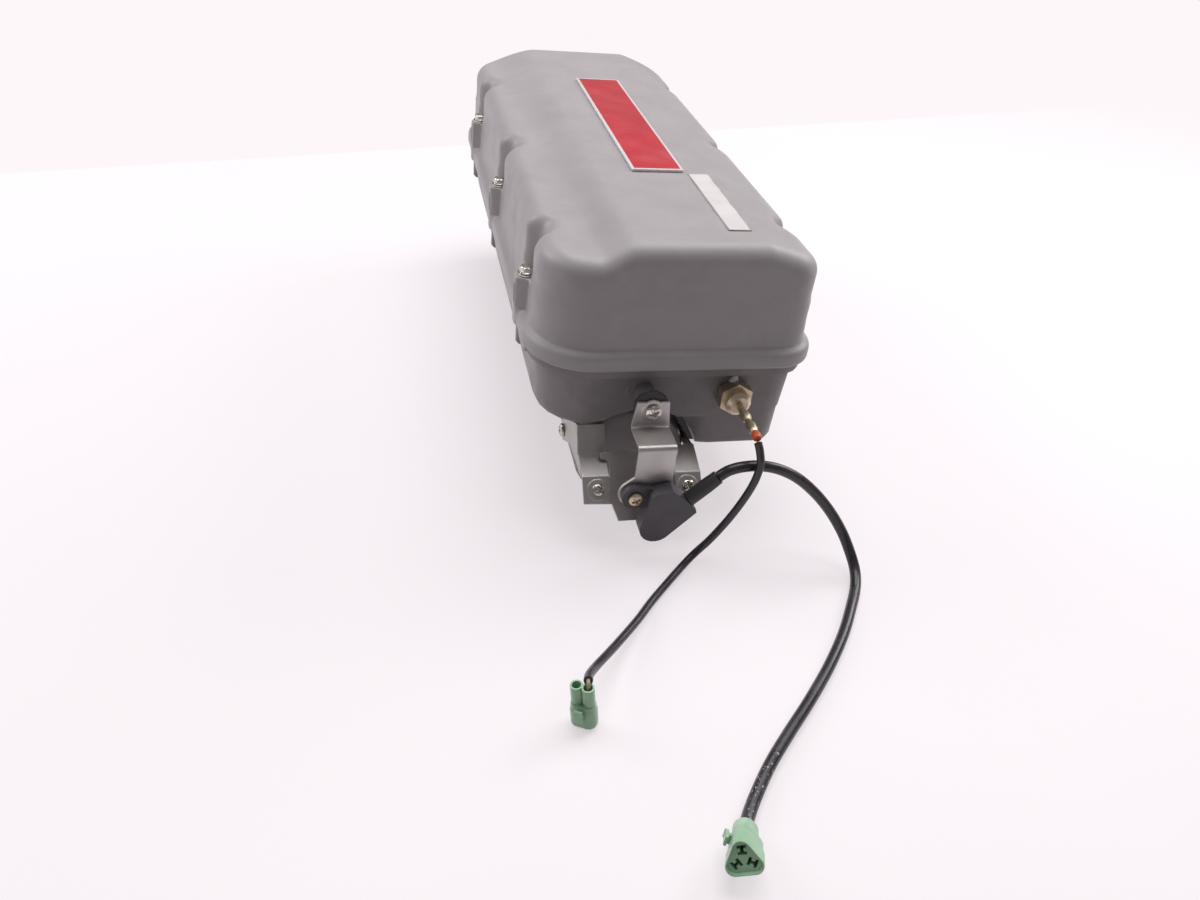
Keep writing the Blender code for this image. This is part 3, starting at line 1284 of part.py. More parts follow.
def make_three_way():
    """A sealed connector with a three-sided hood, slots in its face and a press latch on its flat side."""
    turn = frame_of(THREE_WAY_AXIS, (-1.0, 0.1, 0.3))
    reach = THREE_WAY_RADIUS
    long = THREE_WAY_LENGTH
    loops = [
        triangle(0.66 * reach, 0.0, 0.9),
        triangle(0.70 * reach, 0.30 * long, 0.8),
        triangle(0.92 * reach, 0.36 * long),
        triangle(0.94 * reach, 0.62 * long),
        triangle(reach, 0.65 * long),
        triangle(reach, long),
        triangle(0.86 * reach, long),
        triangle(0.84 * reach, long - 0.002),
    ]
    housing = piece("three_way_housing", skin(loops), GREEN_PLASTIC, THREE_WAY_REAR, turn)
    for i in range(3):
        middle = math.radians(60 + 120 * i)
        x, y = 0.42 * reach * math.cos(middle), 0.42 * reach * math.sin(middle)
        slot = block((x - 0.0014, y - 0.0016, long - 0.010), (x + 0.0014, y + 0.0016, long + 0.002))
        combine(housing, "DIFFERENCE", cutter(f"three_way_slot_{i}", slot, THREE_WAY_REAR, turn))
    face = 0.5 * 0.92 * reach + 0.5 * 0.45 * 0.92 * reach
    span = (0.36 * long, 0.62 * long)
    make_latch("three_way_latch", THREE_WAY_REAR, turn, face, span, THREE_WAY_LATCH_WIDTH)


def make_latch(name, at, turn, face, span, width):
    """A press lever over a connector's side. Its origin is on the line that it rocks about."""
    hinge = Vector((face + LATCH_GAP / 2 + CLEARANCE, 0, (span[0] + span[1]) / 2))
    half = (span[1] - span[0]) / 2
    low = LATCH_GAP / 2
    edge = [
        (-LATCH_GAP / 2, -0.0012),
        (-LATCH_GAP / 2, 0.0012),
        (low, 0.0016),
        (low, half),
        (low + LATCH_THICKNESS, half),
        (low + LATCH_THICKNESS, 0.3 * half - half),
        (low + LATCH_THICKNESS + 0.0008, -half),
        (low, -half),
        (low, -0.0016),
    ]
    body = skin([[(x, y, z) for x, z in edge] for y in (-width / 2, width / 2)])
    made = piece(name, body, GREEN_PLASTIC, Vector(at) + turn @ hinge, turn)
    bpy.context.view_layer.update()
    pivot = [round(value, 5) for value in made.matrix_world.translation]
    axis = [round(value, 5) for value in made.matrix_world.col[1][:3]]
    print(name, "hinge", pivot, "axis", axis)


def make_two_way():
    """A sealed connector standing on its face, with two open wire tubes on top and a press latch in front."""
    turn = frame_of(TWO_WAY_AXIS, Vector(TWO_WAY_ACROSS).cross(Vector(TWO_WAY_AXIS)))
    high = TWO_WAY_HEIGHT
    radius = TWO_WAY_TUBE_RADIUS

    def oval(wide, deep, z):
        corner = 0.42 * deep
        flat = np.concatenate(
            [
                arc((sx * (deep / 2 - corner), sy * (wide / 2 - corner)), corner, start, start + 90, 3)
                for sx, sy, start in ((1, 1, 0), (-1, 1, 90), (-1, -1, 180), (1, -1, 270))
            ]
        )
        return np.column_stack((flat, np.full(len(flat), z)))

    wide, deep = TWO_WAY_WIDTH, TWO_WAY_DEPTH
    body = [
        oval(wide - 0.0013, deep - 0.0018, 0.0012),
        oval(wide - 0.0023, deep - 0.0028, 0.0),
        oval(wide - 0.0008, deep - 0.0008, 0.0),
        oval(wide, deep, 0.0010),
        oval(wide, deep, 0.40 * high),
        oval(wide - 0.0008, deep - 0.0012, 0.43 * high),
        oval(wide - 0.0012, deep - 0.0018, 0.56 * high),
    ]
    housing = piece("two_way_housing", skin(body), GREEN_PLASTIC, TWO_WAY_FOOT, turn)
    for i, side in enumerate((-1, 1)):
        shift = (0, side * (radius - 0.0002), 0)
        wire_tube = placed(rod(radius, 0.50 * high, high), shift)
        combine(housing, "UNION", cutter(f"two_way_tube_{i}", wire_tube, TWO_WAY_FOOT, turn))
    for i, side in enumerate((-1, 1)):
        shift = (0, side * (radius - 0.0002), 0)
        bore = placed(rod(radius - TWO_WAY_TUBE_WALL, 0.62 * high, high + 0.002, 12), shift)
        combine(housing, "DIFFERENCE", cutter(f"two_way_bore_{i}", bore, TWO_WAY_FOOT, turn))
    span = (0.22 * high, 0.58 * high)
    make_latch("two_way_latch", TWO_WAY_FOOT, turn, deep / 2, span, TWO_WAY_LATCH_WIDTH)


make_cover()
make_cover_screws()
make_name_plate()
make_tray()
make_seal_and_inserts()
make_outlets()
make_duct()
make_strap()
make_brackets()
make_sensor()
make_sender()
make_lead("sensor_lead", SENSOR_ROUTE, SENSOR_LEAD_DIAMETER)
make_lead("sender_lead", SENDER_ROUTE, SENDER_LEAD_DIAMETER)
make_three_way()
make_two_way()
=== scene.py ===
# %% [markdown]
# # A moulded engine air case, dressed for its picture
# The frame holds every solid of the case in metres, standing on the floor. This lesson keeps that frame,
# puts smooth surfaces over the solids whose facets would show, and gives each piece a finish made of
# shader nodes. Places are measured from the datum: the middle of the flange's front edge, on the plane
# where cover and tray meet. Adding the datum turns such a place into the frame's own coordinates.

import json
import math

import bmesh
import bpy
import numpy as np
from mathutils import Matrix, Vector

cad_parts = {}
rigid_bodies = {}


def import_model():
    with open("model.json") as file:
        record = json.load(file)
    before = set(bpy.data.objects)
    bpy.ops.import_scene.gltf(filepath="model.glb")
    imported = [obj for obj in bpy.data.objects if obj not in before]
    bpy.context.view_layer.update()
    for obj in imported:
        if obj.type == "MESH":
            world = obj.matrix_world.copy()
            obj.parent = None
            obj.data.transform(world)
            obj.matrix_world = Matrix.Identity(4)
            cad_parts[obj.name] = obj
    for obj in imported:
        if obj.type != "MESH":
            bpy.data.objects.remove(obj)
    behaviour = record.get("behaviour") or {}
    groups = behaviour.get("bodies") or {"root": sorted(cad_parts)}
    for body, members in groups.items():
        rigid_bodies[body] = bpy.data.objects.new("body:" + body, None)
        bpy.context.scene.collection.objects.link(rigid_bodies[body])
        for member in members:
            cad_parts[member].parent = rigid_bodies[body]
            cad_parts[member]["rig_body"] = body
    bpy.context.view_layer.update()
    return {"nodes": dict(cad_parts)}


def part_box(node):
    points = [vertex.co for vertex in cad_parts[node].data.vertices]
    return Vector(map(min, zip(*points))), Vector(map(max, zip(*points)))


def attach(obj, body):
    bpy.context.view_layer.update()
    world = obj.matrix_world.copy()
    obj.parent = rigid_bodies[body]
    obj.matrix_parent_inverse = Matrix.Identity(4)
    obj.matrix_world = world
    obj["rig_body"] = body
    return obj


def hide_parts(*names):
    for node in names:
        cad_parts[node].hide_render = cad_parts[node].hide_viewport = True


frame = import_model()
DATUM = np.array((0.0, -0.213, 0.125))
print("solids in the frame:", len(frame["nodes"]))

# %% [markdown]
# ## Camera
# The picture was taken from the left front, a little above the case, with a short lens and a slight tilt.
# The camera's turn is written as the directions that are right and up in the picture, because those two
# are easy to read off, and the third follows from them.

# %% Camera
camera_data = bpy.data.cameras.new("picture_camera")
camera_data.sensor_width = 36.0
camera_data.lens = 27.90
camera_data.clip_start = 0.01
camera = bpy.data.objects.new("picture_camera", camera_data)
bpy.context.scene.collection.objects.link(camera)
picture_right = Vector((0.97497, -0.19904, 0.09908))
picture_up = Vector((0.04167, 0.60130, 0.79794))
camera_turn = Matrix((picture_right, picture_up, picture_right.cross(picture_up))).transposed()
camera.matrix_world = Matrix.Translation((-0.187447, -0.709634, 0.443749)) @ camera_turn.to_4x4()
bpy.context.scene.camera = camera
bpy.context.scene.view_settings.view_transform = "Standard"
print("camera lens:", camera_data.lens, "mm")

# %% [markdown]
# ## Node helpers
# Materials are easier to read when a node, its settings and its fixed socket values are made in one call.
# Shared effects are node groups with named sockets, so that one group can serve many finishes with other
# values.


# %% Node helpers
def add(tree, kind, values=None, **settings):
    """One node in a tree, with its settings and the values of its unlinked sockets."""
    made = tree.nodes.new(kind)
    for name, value in settings.items():
        setattr(made, name, value)
    for socket, value in (values or {}).items():
        made.inputs[socket].default_value = value
    return made


def shader_group(name, inputs, outputs):
    """An empty shader group with float or vector inputs, and the nodes at its two ends."""
    tree = bpy.data.node_groups.new(name, "ShaderNodeTree")
    for label, value in inputs:
        kind = "NodeSocketVector" if value is None else "NodeSocketFloat"
        socket = tree.interface.new_socket(label, in_out="INPUT", socket_type=kind)
        if value is not None:
            socket.default_value = value
    for label, kind in outputs:
        tree.interface.new_socket(label, in_out="OUTPUT", socket_type=kind)
    return tree, add(tree, "NodeGroupInput"), add(tree, "NodeGroupOutput")


def use(tree, group, vector, **values):
    """A group placed in a material, read at the given coordinates."""
    made = add(tree, "ShaderNodeGroup", node_tree=group)
    tree.links.new(vector, made.inputs["Vector"])
    for label, value in values.items():
        made.inputs[label].default_value = value
    return made


def blend_colours(tree, share, first, second):
    """A colour between two, by a share. Each of the three may be a socket or a fixed value."""
    made = add(tree, "ShaderNodeMix", data_type="RGBA")
    if isinstance(share, bpy.types.NodeSocket):
        tree.links.new(share, made.inputs["Factor"])
    else:
        made.inputs["Factor"].default_value = share
    for socket, colour in ((made.inputs["A"], first), (made.inputs["B"], second)):
        if isinstance(colour, bpy.types.NodeSocket):
            tree.links.new(colour, socket)
        else:
            socket.default_value = (*colour, 1)
    return made.outputs["Result"]


def ramp(tree, value, low, high, start=0.0, stop=1.0):
    """A value mapped in a straight line from low..high to start..stop, and held at the ends."""
    made = add(tree, "ShaderNodeMapRange")
    tree.links.new(value, made.inputs["Value"])
    for label, number in (("From Min", low), ("From Max", high), ("To Min", start), ("To Max", stop)):
        made.inputs[label].default_value = number
    return made.outputs["Result"]


print("node helpers ready")

# %% [markdown]
# ## Shared surface effects
# Moulded plastic has a fine grain and slow changes of tone. Handled parts carry soft smudges and a few
# thin scratches. Edges are never knife-sharp, and they wear paler. Each effect is one group: noise in the
# object's own coordinates for the first two, and for the last the difference between the plain normal and
# a rounded one.


# %% Grain, marks and edges
def make_grain():
    """Fine height noise of a given size in metres, and a slow tone from noise thirty times as coarse."""
    tree, start, end = shader_group(
        "moulded_grain",
        (("Vector", None), ("Size", 0.0006)),
        (("Height", "NodeSocketFloat"), ("Tone", "NodeSocketFloat")),
    )
    rate = add(tree, "ShaderNodeMath", {0: 1.0}, operation="DIVIDE")
    tree.links.new(start.outputs["Size"], rate.inputs[1])
    fine = add(tree, "ShaderNodeTexNoise", {"Detail": 3.0, "Roughness": 0.6})
    tree.links.new(start.outputs["Vector"], fine.inputs["Vector"])
    tree.links.new(rate.outputs[0], fine.inputs["Scale"])
    tree.links.new(fine.outputs["Fac"], end.inputs["Height"])
    slow_rate = add(tree, "ShaderNodeMath", {1: 0.03}, operation="MULTIPLY")
    tree.links.new(rate.outputs[0], slow_rate.inputs[0])
    slow = add(tree, "ShaderNodeTexNoise", {"Detail": 4.0, "Roughness": 0.55})
    tree.links.new(start.outputs["Vector"], slow.inputs["Vector"])
    tree.links.new(slow_rate.outputs[0], slow.inputs["Scale"])
    tree.links.new(ramp(tree, slow.outputs["Fac"], 0.3, 0.7), end.inputs["Tone"])
    return tree


def make_marks():
    """Smudges from cloudy noise above a level, and scratches where a stretched noise crosses its middle."""
    tree, start, end = shader_group(
        "handling_marks",
        (("Vector", None), ("Spread", 0.03), ("Scratch Size", 0.012)),
        (("Smudge", "NodeSocketFloat"), ("Scratch", "NodeSocketFloat")),
    )
    rate = add(tree, "ShaderNodeMath", {0: 1.0}, operation="DIVIDE")
    tree.links.new(start.outputs["Spread"], rate.inputs[1])
    cloud = add(tree, "ShaderNodeTexNoise", {"Detail": 6.0, "Roughness": 0.62, "Distortion": 0.4})
    tree.links.new(start.outputs["Vector"], cloud.inputs["Vector"])
    tree.links.new(rate.outputs[0], cloud.inputs["Scale"])
    tree.links.new(ramp(tree, cloud.outputs["Fac"], 0.45, 0.75), end.inputs["Smudge"])
    turned = add(tree, "ShaderNodeMapping", {"Rotation": (0.5, 0.3, 0.7), "Scale": (1.0, 12.0, 5.0)})
    tree.links.new(start.outputs["Vector"], turned.inputs["Vector"])
    fine_rate = add(tree, "ShaderNodeMath", {0: 1.0}, operation="DIVIDE")
    tree.links.new(start.outputs["Scratch Size"], fine_rate.inputs[1])
    thin = add(tree, "ShaderNodeTexNoise", {"Detail": 1.0, "Roughness": 0.4})
    tree.links.new(turned.outputs["Vector"], thin.inputs["Vector"])
    tree.links.new(fine_rate.outputs[0], thin.inputs["Scale"])
    off = add(tree, "ShaderNodeMath", {1: 0.5}, operation="SUBTRACT")
    tree.links.new(thin.outputs["Fac"], off.inputs[0])
    size = add(tree, "ShaderNodeMath", operation="ABSOLUTE")
    tree.links.new(off.outputs[0], size.inputs[0])
    line = ramp(tree, size.outputs[0], 0.0, 0.006, 1.0, 0.0)
    few = add(tree, "ShaderNodeMath", operation="MULTIPLY")
    tree.links.new(line, few.inputs[0])
    tree.links.new(ramp(tree, cloud.outputs["Fac"], 0.5, 0.62), few.inputs[1])
    tree.links.new(few.outputs[0], end.inputs["Scratch"])
    return tree


def make_edges():
    """A normal rounded over a radius in metres, and a mask that is high where it leaves the plain
    normal.
    """
    tree, start, end = shader_group(
        "soft_edges",
        (("Vector", None), ("Radius", 0.0006)),
        (("Mask", "NodeSocketFloat"), ("Normal", "NodeSocketVector")),
    )
    rounded = add(tree, "ShaderNodeBevel", samples=6)
    tree.links.new(start.outputs["Radius"], rounded.inputs["Radius"])
    plain = add(tree, "ShaderNodeNewGeometry")
    meet = add(tree, "ShaderNodeVectorMath", operation="DOT_PRODUCT")
    tree.links.new(rounded.outputs["Normal"], meet.inputs[0])
    tree.links.new(plain.outputs["Normal"], meet.inputs[1])
    rough = add(tree, "ShaderNodeTexNoise", {"Scale": 260.0, "Detail": 3.0})
    tree.links.new(start.outputs["Vector"], rough.inputs["Vector"])
    broken = add(tree, "ShaderNodeMath", operation="MULTIPLY")
    tree.links.new(ramp(tree, meet.outputs["Value"], 0.99, 0.86), broken.inputs[0])
    tree.links.new(ramp(tree, rough.outputs["Fac"], 0.35, 0.6), broken.inputs[1])
    tree.links.new(broken.outputs[0], end.inputs["Mask"])
    tree.links.new(rounded.outputs["Normal"], end.inputs["Normal"])
    return tree


GRAIN = make_grain()
MARKS = make_marks()
EDGES = make_edges()
print("shared groups:", [group.name for group in (GRAIN, MARKS, EDGES)])

# %% [markdown]
# ## Finishes
# One recipe serves the plastics, rubbers and bright metals of this case: two close tones, smudges, paler
# worn edges, a roughness that follows the smudges and a bump from the grain. What differs is the numbers,
# so each finish is a call with its own colours and sizes. Values that stay the same all over a surface
# sit on the shader's own sockets.


# %% The recipe
def finish(name, dark, light, rough, grain, bump, metallic=0.0, worn=None, dirt=None, edge=0.0006, **sockets):
    """A finish from two tones. worn and dirt are (colour, amount) pairs for the edges and the smudges."""
    made = bpy.data.materials.new(name)
    made.use_nodes = True
    tree = made.node_tree
    shader = tree.nodes["Principled BSDF"]
    shader.inputs["Metallic"].default_value = metallic
    for label, value in sockets.items():
        shader.inputs[label.replace("_", " ")].default_value = value
    where = add(tree, "ShaderNodeTexCoord").outputs["Object"]
    texture = use(tree, GRAIN, where, Size=grain)
    marks = use(tree, MARKS, where)
    edges = use(tree, EDGES, where, Radius=edge)
    colour = blend_colours(tree, texture.outputs["Tone"], dark, light)
    if dirt:
        share = ramp(tree, marks.outputs["Smudge"], 0.0, 1.0, 0.0, dirt[1])
        colour = blend_colours(tree, share, colour, dirt[0])
    if worn:
        share = ramp(tree, edges.outputs["Mask"], 0.0, 1.0, 0.0, worn[1])
        colour = blend_colours(tree, share, colour, worn[0])
        share = ramp(tree, marks.outputs["Scratch"], 0.0, 1.0, 0.0, 0.6 * worn[1])
        colour = blend_colours(tree, share, colour, worn[0])
    tree.links.new(colour, shader.inputs["Base Color"])
    tree.links.new(ramp(tree, marks.outputs["Smudge"], 0.0, 1.0, *rough), shader.inputs["Roughness"])
    relief = add(tree, "ShaderNodeBump", {"Strength": 1.0, "Distance": bump})
    tree.links.new(texture.outputs["Height"], relief.inputs["Height"])
    tree.links.new(edges.outputs["Normal"], relief.inputs["Normal"])
    tree.links.new(relief.outputs["Normal"], shader.inputs["Normal"])
    return made


COVER_GREY = finish(
    "cover_grey", (0.375, 0.342, 0.352), (0.425, 0.390, 0.400), (0.40, 0.55), 0.0009, 0.00003,
    worn=((0.52, 0.50, 0.50), 0.25), dirt=((0.27, 0.245, 0.25), 0.30), edge=0.0008,
)
TRAY_GREY = finish(
    "tray_grey", (0.215, 0.190, 0.196), (0.255, 0.228, 0.232), (0.38, 0.55), 0.0009, 0.00003,
    worn=((0.36, 0.34, 0.34), 0.25), dirt=((0.13, 0.115, 0.115), 0.40), edge=0.0010,
)
SATIN_STEEL = finish(
    "satin_steel", (0.47, 0.44, 0.43), (0.53, 0.50, 0.49), (0.40, 0.50), 0.0005, 0.000006, metallic=0.85,
    worn=((0.72, 0.70, 0.68), 0.4), dirt=((0.40, 0.37, 0.35), 0.30), edge=0.0004,
)
SCREW_STEEL = finish(
    "screw_steel", (0.58, 0.54, 0.50), (0.70, 0.67, 0.63), (0.18, 0.34), 0.0004, 0.000008, metallic=1.0,
    worn=((0.82, 0.79, 0.75), 0.5), dirt=((0.30, 0.24, 0.17), 0.5), edge=0.0003,
)
DULL_BRASS = finish(
    "dull_brass", (0.50, 0.40, 0.28), (0.66, 0.56, 0.42), (0.30, 0.50), 0.0004, 0.000012, metallic=0.9,
    worn=((0.84, 0.76, 0.62), 0.6), dirt=((0.32, 0.24, 0.16), 0.50), edge=0.0003,
)
BLACK_PLASTIC = finish(
    "black_plastic", (0.052, 0.046, 0.056), (0.072, 0.064, 0.076), (0.42, 0.60), 0.0006, 0.00004,
    worn=((0.16, 0.15, 0.16), 0.4), dirt=((0.105, 0.096, 0.100), 0.40), edge=0.0006,
)
BLACK_RUBBER = finish(
    "black_rubber", (0.034, 0.030, 0.033), (0.048, 0.043, 0.046), (0.50, 0.68), 0.0005, 0.00003,
    worn=((0.085, 0.080, 0.083), 0.3), dirt=((0.080, 0.072, 0.070), 0.35), edge=0.0005,
)
GREEN_PLASTIC = finish(
    "green_plastic", (0.290, 0.490, 0.315), (0.390, 0.600, 0.410), (0.32, 0.50), 0.0006, 0.00002,
    worn=((0.54, 0.72, 0.56), 0.4), dirt=((0.190, 0.300, 0.195), 0.40), edge=0.0004,
)
ORANGE_SEAL = finish(
    "orange_seal", (0.55, 0.075, 0.020), (0.70, 0.12, 0.035), (0.34, 0.50), 0.0004, 0.00002,
    worn=((0.80, 0.30, 0.18), 0.3), dirt=((0.30, 0.05, 0.02), 0.3), edge=0.0003,
)
print("finishes:", len(bpy.data.materials))

# %% [markdown]
# ## Floor and light
# The case stands on a plain pale table in a bright room: most light falls from above and behind, and the
# side towards the camera is lit by the table alone. A wide lamp overhead, two weaker ones at the back
# corners and a faint world give that. The table meets a pale board on a slanting line, which is drawn as
# a soft change of tone, with a band of painted shade along the line.


# %% Floor and light
PALE_BOARD = (0.970, 0.910, 0.930)
ROOM_STRENGTH = 0.20
EVEN_SHARE = 0.58
BOARD_ACROSS = (-0.2492, 0.9684, 0.0)
BOARD_LINE = 0.5700
FLOOR_REACH, FLOOR_DROP = 30.0, 0.0004


def pale_table():
    """A warm white table, and a board of one even tone beyond a slanting line, with painted shade along the line.

    Rays from the camera, and those that metal mirrors, see the pale tones. Light that bounces on to the case
    meets a darker table, as in a room where the ground before the case lies in shade.
    """
    made = bpy.data.materials.new("pale_table")
    made.use_nodes = True
    tree = made.node_tree
    shader = tree.nodes["Principled BSDF"]
    shader.inputs["Roughness"].default_value = 0.6
    shader.inputs["Specular IOR Level"].default_value = 0.2
    shader.inputs["Emission Strength"].default_value = 1.0
    where = add(tree, "ShaderNodeTexCoord").outputs["Object"]
    across = add(tree, "ShaderNodeVectorMath", {1: BOARD_ACROSS}, operation="DOT_PRODUCT")
    tree.links.new(where, across.inputs[0])
    beyond = ramp(tree, across.outputs["Value"], BOARD_LINE, BOARD_LINE + 0.003)
    cloud = add(tree, "ShaderNodeTexNoise", {"Scale": 3.0, "Detail": 3.0})
    tree.links.new(where, cloud.inputs["Vector"])
    cloudy = ramp(tree, cloud.outputs["Fac"], 0.3, 0.7)
    table = blend_colours(tree, cloudy, (0.92, 0.865, 0.895), (0.95, 0.90, 0.925))
    # Painted shade: the table darkens towards a dusky pink in a band about 5 mm wide along the line where it meets
    # the board.
    near_line = add(tree, "ShaderNodeMath", {1: BOARD_LINE}, operation="SUBTRACT")
    tree.links.new(across.outputs["Value"], near_line.inputs[0])
    reach = add(tree, "ShaderNodeMath", operation="ABSOLUTE")
    tree.links.new(near_line.outputs[0], reach.inputs[0])
    painted_crease_shade = ramp(tree, reach.outputs[0], 0.0, 0.005, 0.40, 0.0)
    table = blend_colours(tree, painted_crease_shade, table, (0.62, 0.50, 0.55))
    light = add(tree, "ShaderNodeLightPath")
    seen = add(tree, "ShaderNodeMath", operation="MAXIMUM")
    tree.links.new(light.outputs["Is Camera Ray"], seen.inputs[0])
    tree.links.new(light.outputs["Is Glossy Ray"], seen.inputs[1])
    shaded = blend_colours(tree, EVEN_SHARE, table, (0.0, 0.0, 0.0))
    lit = blend_colours(tree, seen.outputs[0], (0.62, 0.585, 0.60), shaded)
    distance = add(tree, "ShaderNodeVectorMath", operation="LENGTH")
    tree.links.new(where, distance.inputs[0])
    far = add(tree, "ShaderNodeMath", operation="MAXIMUM")
    tree.links.new(beyond, far.inputs[0])
    tree.links.new(ramp(tree, distance.outputs["Value"], 0.8, 1.5), far.inputs[1])
    lit = blend_colours(tree, far.outputs[0], lit, (0.0, 0.0, 0.0))
    tree.links.new(lit, shader.inputs["Base Color"])
    glow = blend_colours(tree, far.outputs[0], (0.555, 0.518, 0.538), PALE_BOARD)
    glow = blend_colours(tree, seen.outputs[0], (0.0, 0.0, 0.0), glow)
    tree.links.new(glow, shader.inputs["Emission Color"])
    return made


floor_mesh = bpy.data.meshes.new("floor")
floor_turns = ((-1, -1), (1, -1), (1, 1), (-1, 1))
floor_corners = [(x * FLOOR_REACH, y * FLOOR_REACH, -FLOOR_DROP) for x, y in floor_turns]
floor_mesh.from_pydata(floor_corners, [], [(0, 1, 2, 3)])
floor_mesh.materials.append(pale_table())
floor = bpy.data.objects.new("floor", floor_mesh)
bpy.context.scene.collection.objects.link(floor)


def lamp(name, place, target, size, power):
    """A square area lamp that faces a target."""
    data = bpy.data.lights.new(name, "AREA")
    data.size = size
    data.energy = power
    made = bpy.data.objects.new(name, data)
    away = Vector(place) - Vector(target)
    made.matrix_world = Matrix.Translation(place) @ away.to_track_quat("Z", "Y").to_matrix().to_4x4()
    bpy.context.scene.collection.objects.link(made)


lamp("overhead", (0.10, 0.40, 1.9), (0.0, 0.0, 0.1), 1.5, 29.0)
lamp("back_left", (-1.5, 0.7, 1.1), (0.0, 0.0, 0.1), 1.0, 13.0)
lamp("back_right", (1.6, 0.6, 1.2), (0.0, 0.0, 0.1), 1.0, 18.0)
world = bpy.data.worlds.new("room")
world.use_nodes = True
room_ray = add(world.node_tree, "ShaderNodeLightPath").outputs["Is Camera Ray"]
room_light = tuple(ROOM_STRENGTH * share for share in (1.0, 0.97, 0.98))
room_colour = blend_colours(world.node_tree, room_ray, room_light, PALE_BOARD)
world.node_tree.links.new(room_colour, world.node_tree.nodes["Background"].inputs["Color"])
bpy.context.scene.world = world
print("lamps:", [item.name for item in bpy.data.lights])

# %% [markdown]
# ## From arrays to pieces
# Every new surface is a grid of points: rows of loops, columns round each loop. Index arithmetic turns
# the grid into quads in one go. A finished piece sits at the origin with its place in its mesh, and rides
# on a body of the frame.


# %% Grid surfaces
def grid_mesh(name, grid, round_columns=True, caps=True, sharp=40):
    """Quads between neighbours of a rows-by-columns grid of points, with its sides joined and ends
    capped.
    """
    rows, columns = grid.shape[:2]
    index = np.arange(rows * columns).reshape(rows, columns)
    ends = [index[0][::-1].tolist(), index[-1].tolist()]
    if round_columns:
        index = np.hstack((index, index[:, :1]))
    quads = np.stack((index[:-1, :-1], index[:-1, 1:], index[1:, 1:], index[1:, :-1]), axis=-1)
    faces = quads.reshape(-1, 4).tolist()
    if caps:
        faces += ends
    mesh = bpy.data.meshes.new(name)
    mesh.from_pydata(grid.reshape(-1, 3).tolist(), [], faces)
    return outward(mesh, sharp)


def outward(mesh, sharp=40):
    """The mesh with its faces turned outwards and its shading smooth up to an angle."""
    body = bmesh.new()
    body.from_mesh(mesh)
    bmesh.ops.recalc_face_normals(body, faces=body.faces)
    body.to_mesh(mesh)
    body.free()
    mesh.shade_smooth()
    mesh.set_sharp_from_angle(angle=math.radians(sharp))
    return mesh


def merged(meshes, name):
    """Several meshes as one, for pieces that repeat."""
    body = bmesh.new()
    for mesh in meshes:
        body.from_mesh(mesh)
    whole = bpy.data.meshes.new(name)
    body.to_mesh(whole)
    body.free()
    return outward(whole)


def settle(name, mesh, look, body, slot, *stands_for):
    """A finished piece: its mesh, finish, body and the solids that it stands for. The slot is not used."""
    made = bpy.data.objects.new(name, mesh)
    bpy.context.scene.collection.objects.link(made)
    mesh.materials.clear()
    mesh.materials.append(look)
    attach(made, body)
    if stands_for:
        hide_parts(*stands_for)
    return made


def directions(axis, side=(0.0, 0.0, 1.0)):
    """Three unit vectors: across, up and along an axis, with across as near to side as it can be."""
    along = np.array(axis, float) / np.linalg.norm(axis)
    across = np.array(side, float) - np.dot(side, along) * along
    if np.linalg.norm(across) < 1e-6:
        across = np.cross(along, (1.0, 0.0, 0.0))
    across = across / np.linalg.norm(across)
    return np.array((across, np.cross(along, across), along))


def place(points, at, axis=(0, 0, 1), side=(1.0, 0.0, 0.0)):
    """Points of a piece's own axes, turned so that its Z runs along axis, and moved to a place from the
    datum.
    """
    return points @ directions(axis, side) + np.array(at) + DATUM


def lathe(profile, sides=48):
    """A turned surface: each (radius, height) of the profile becomes a ring."""
    profile = np.array(profile, float)
    turn = 2 * np.pi * np.arange(sides) / sides
    ring = np.column_stack((np.cos(turn), np.sin(turn)))
    flat = profile[:, None, :1] * ring[None]
    tall = np.broadcast_to(profile[:, None, 1:], (len(profile), sides, 1))
    return np.concatenate((flat, tall), axis=2)


def softened(points, radius, steps=4):
    """A path of points with each corner cut by a quarter-like curve of the given reach."""
    points = np.array(points, float)
    before, after = np.roll(points, 1, 0), np.roll(points, -1, 0)
    back, on = before - points, after - points
    long_back, long_on = np.linalg.norm(back, axis=1), np.linalg.norm(on, axis=1)
    reach = np.minimum(radius, 0.45 * np.minimum(long_back, long_on))[:, None]
    start = points + back / np.maximum(long_back, 1e-12)[:, None] * reach
    stop = points + on / np.maximum(long_on, 1e-12)[:, None] * reach
    share = np.linspace(0, 1, steps + 1)[None, :, None]
    curve = (1 - share) ** 2 * start[:, None] + 2 * share * (1 - share) * points[:, None]
    curve = curve + share**2 * stop[:, None]
    curve[0], curve[-1] = points[0], points[-1]
    return curve.reshape(-1, points.shape[1])


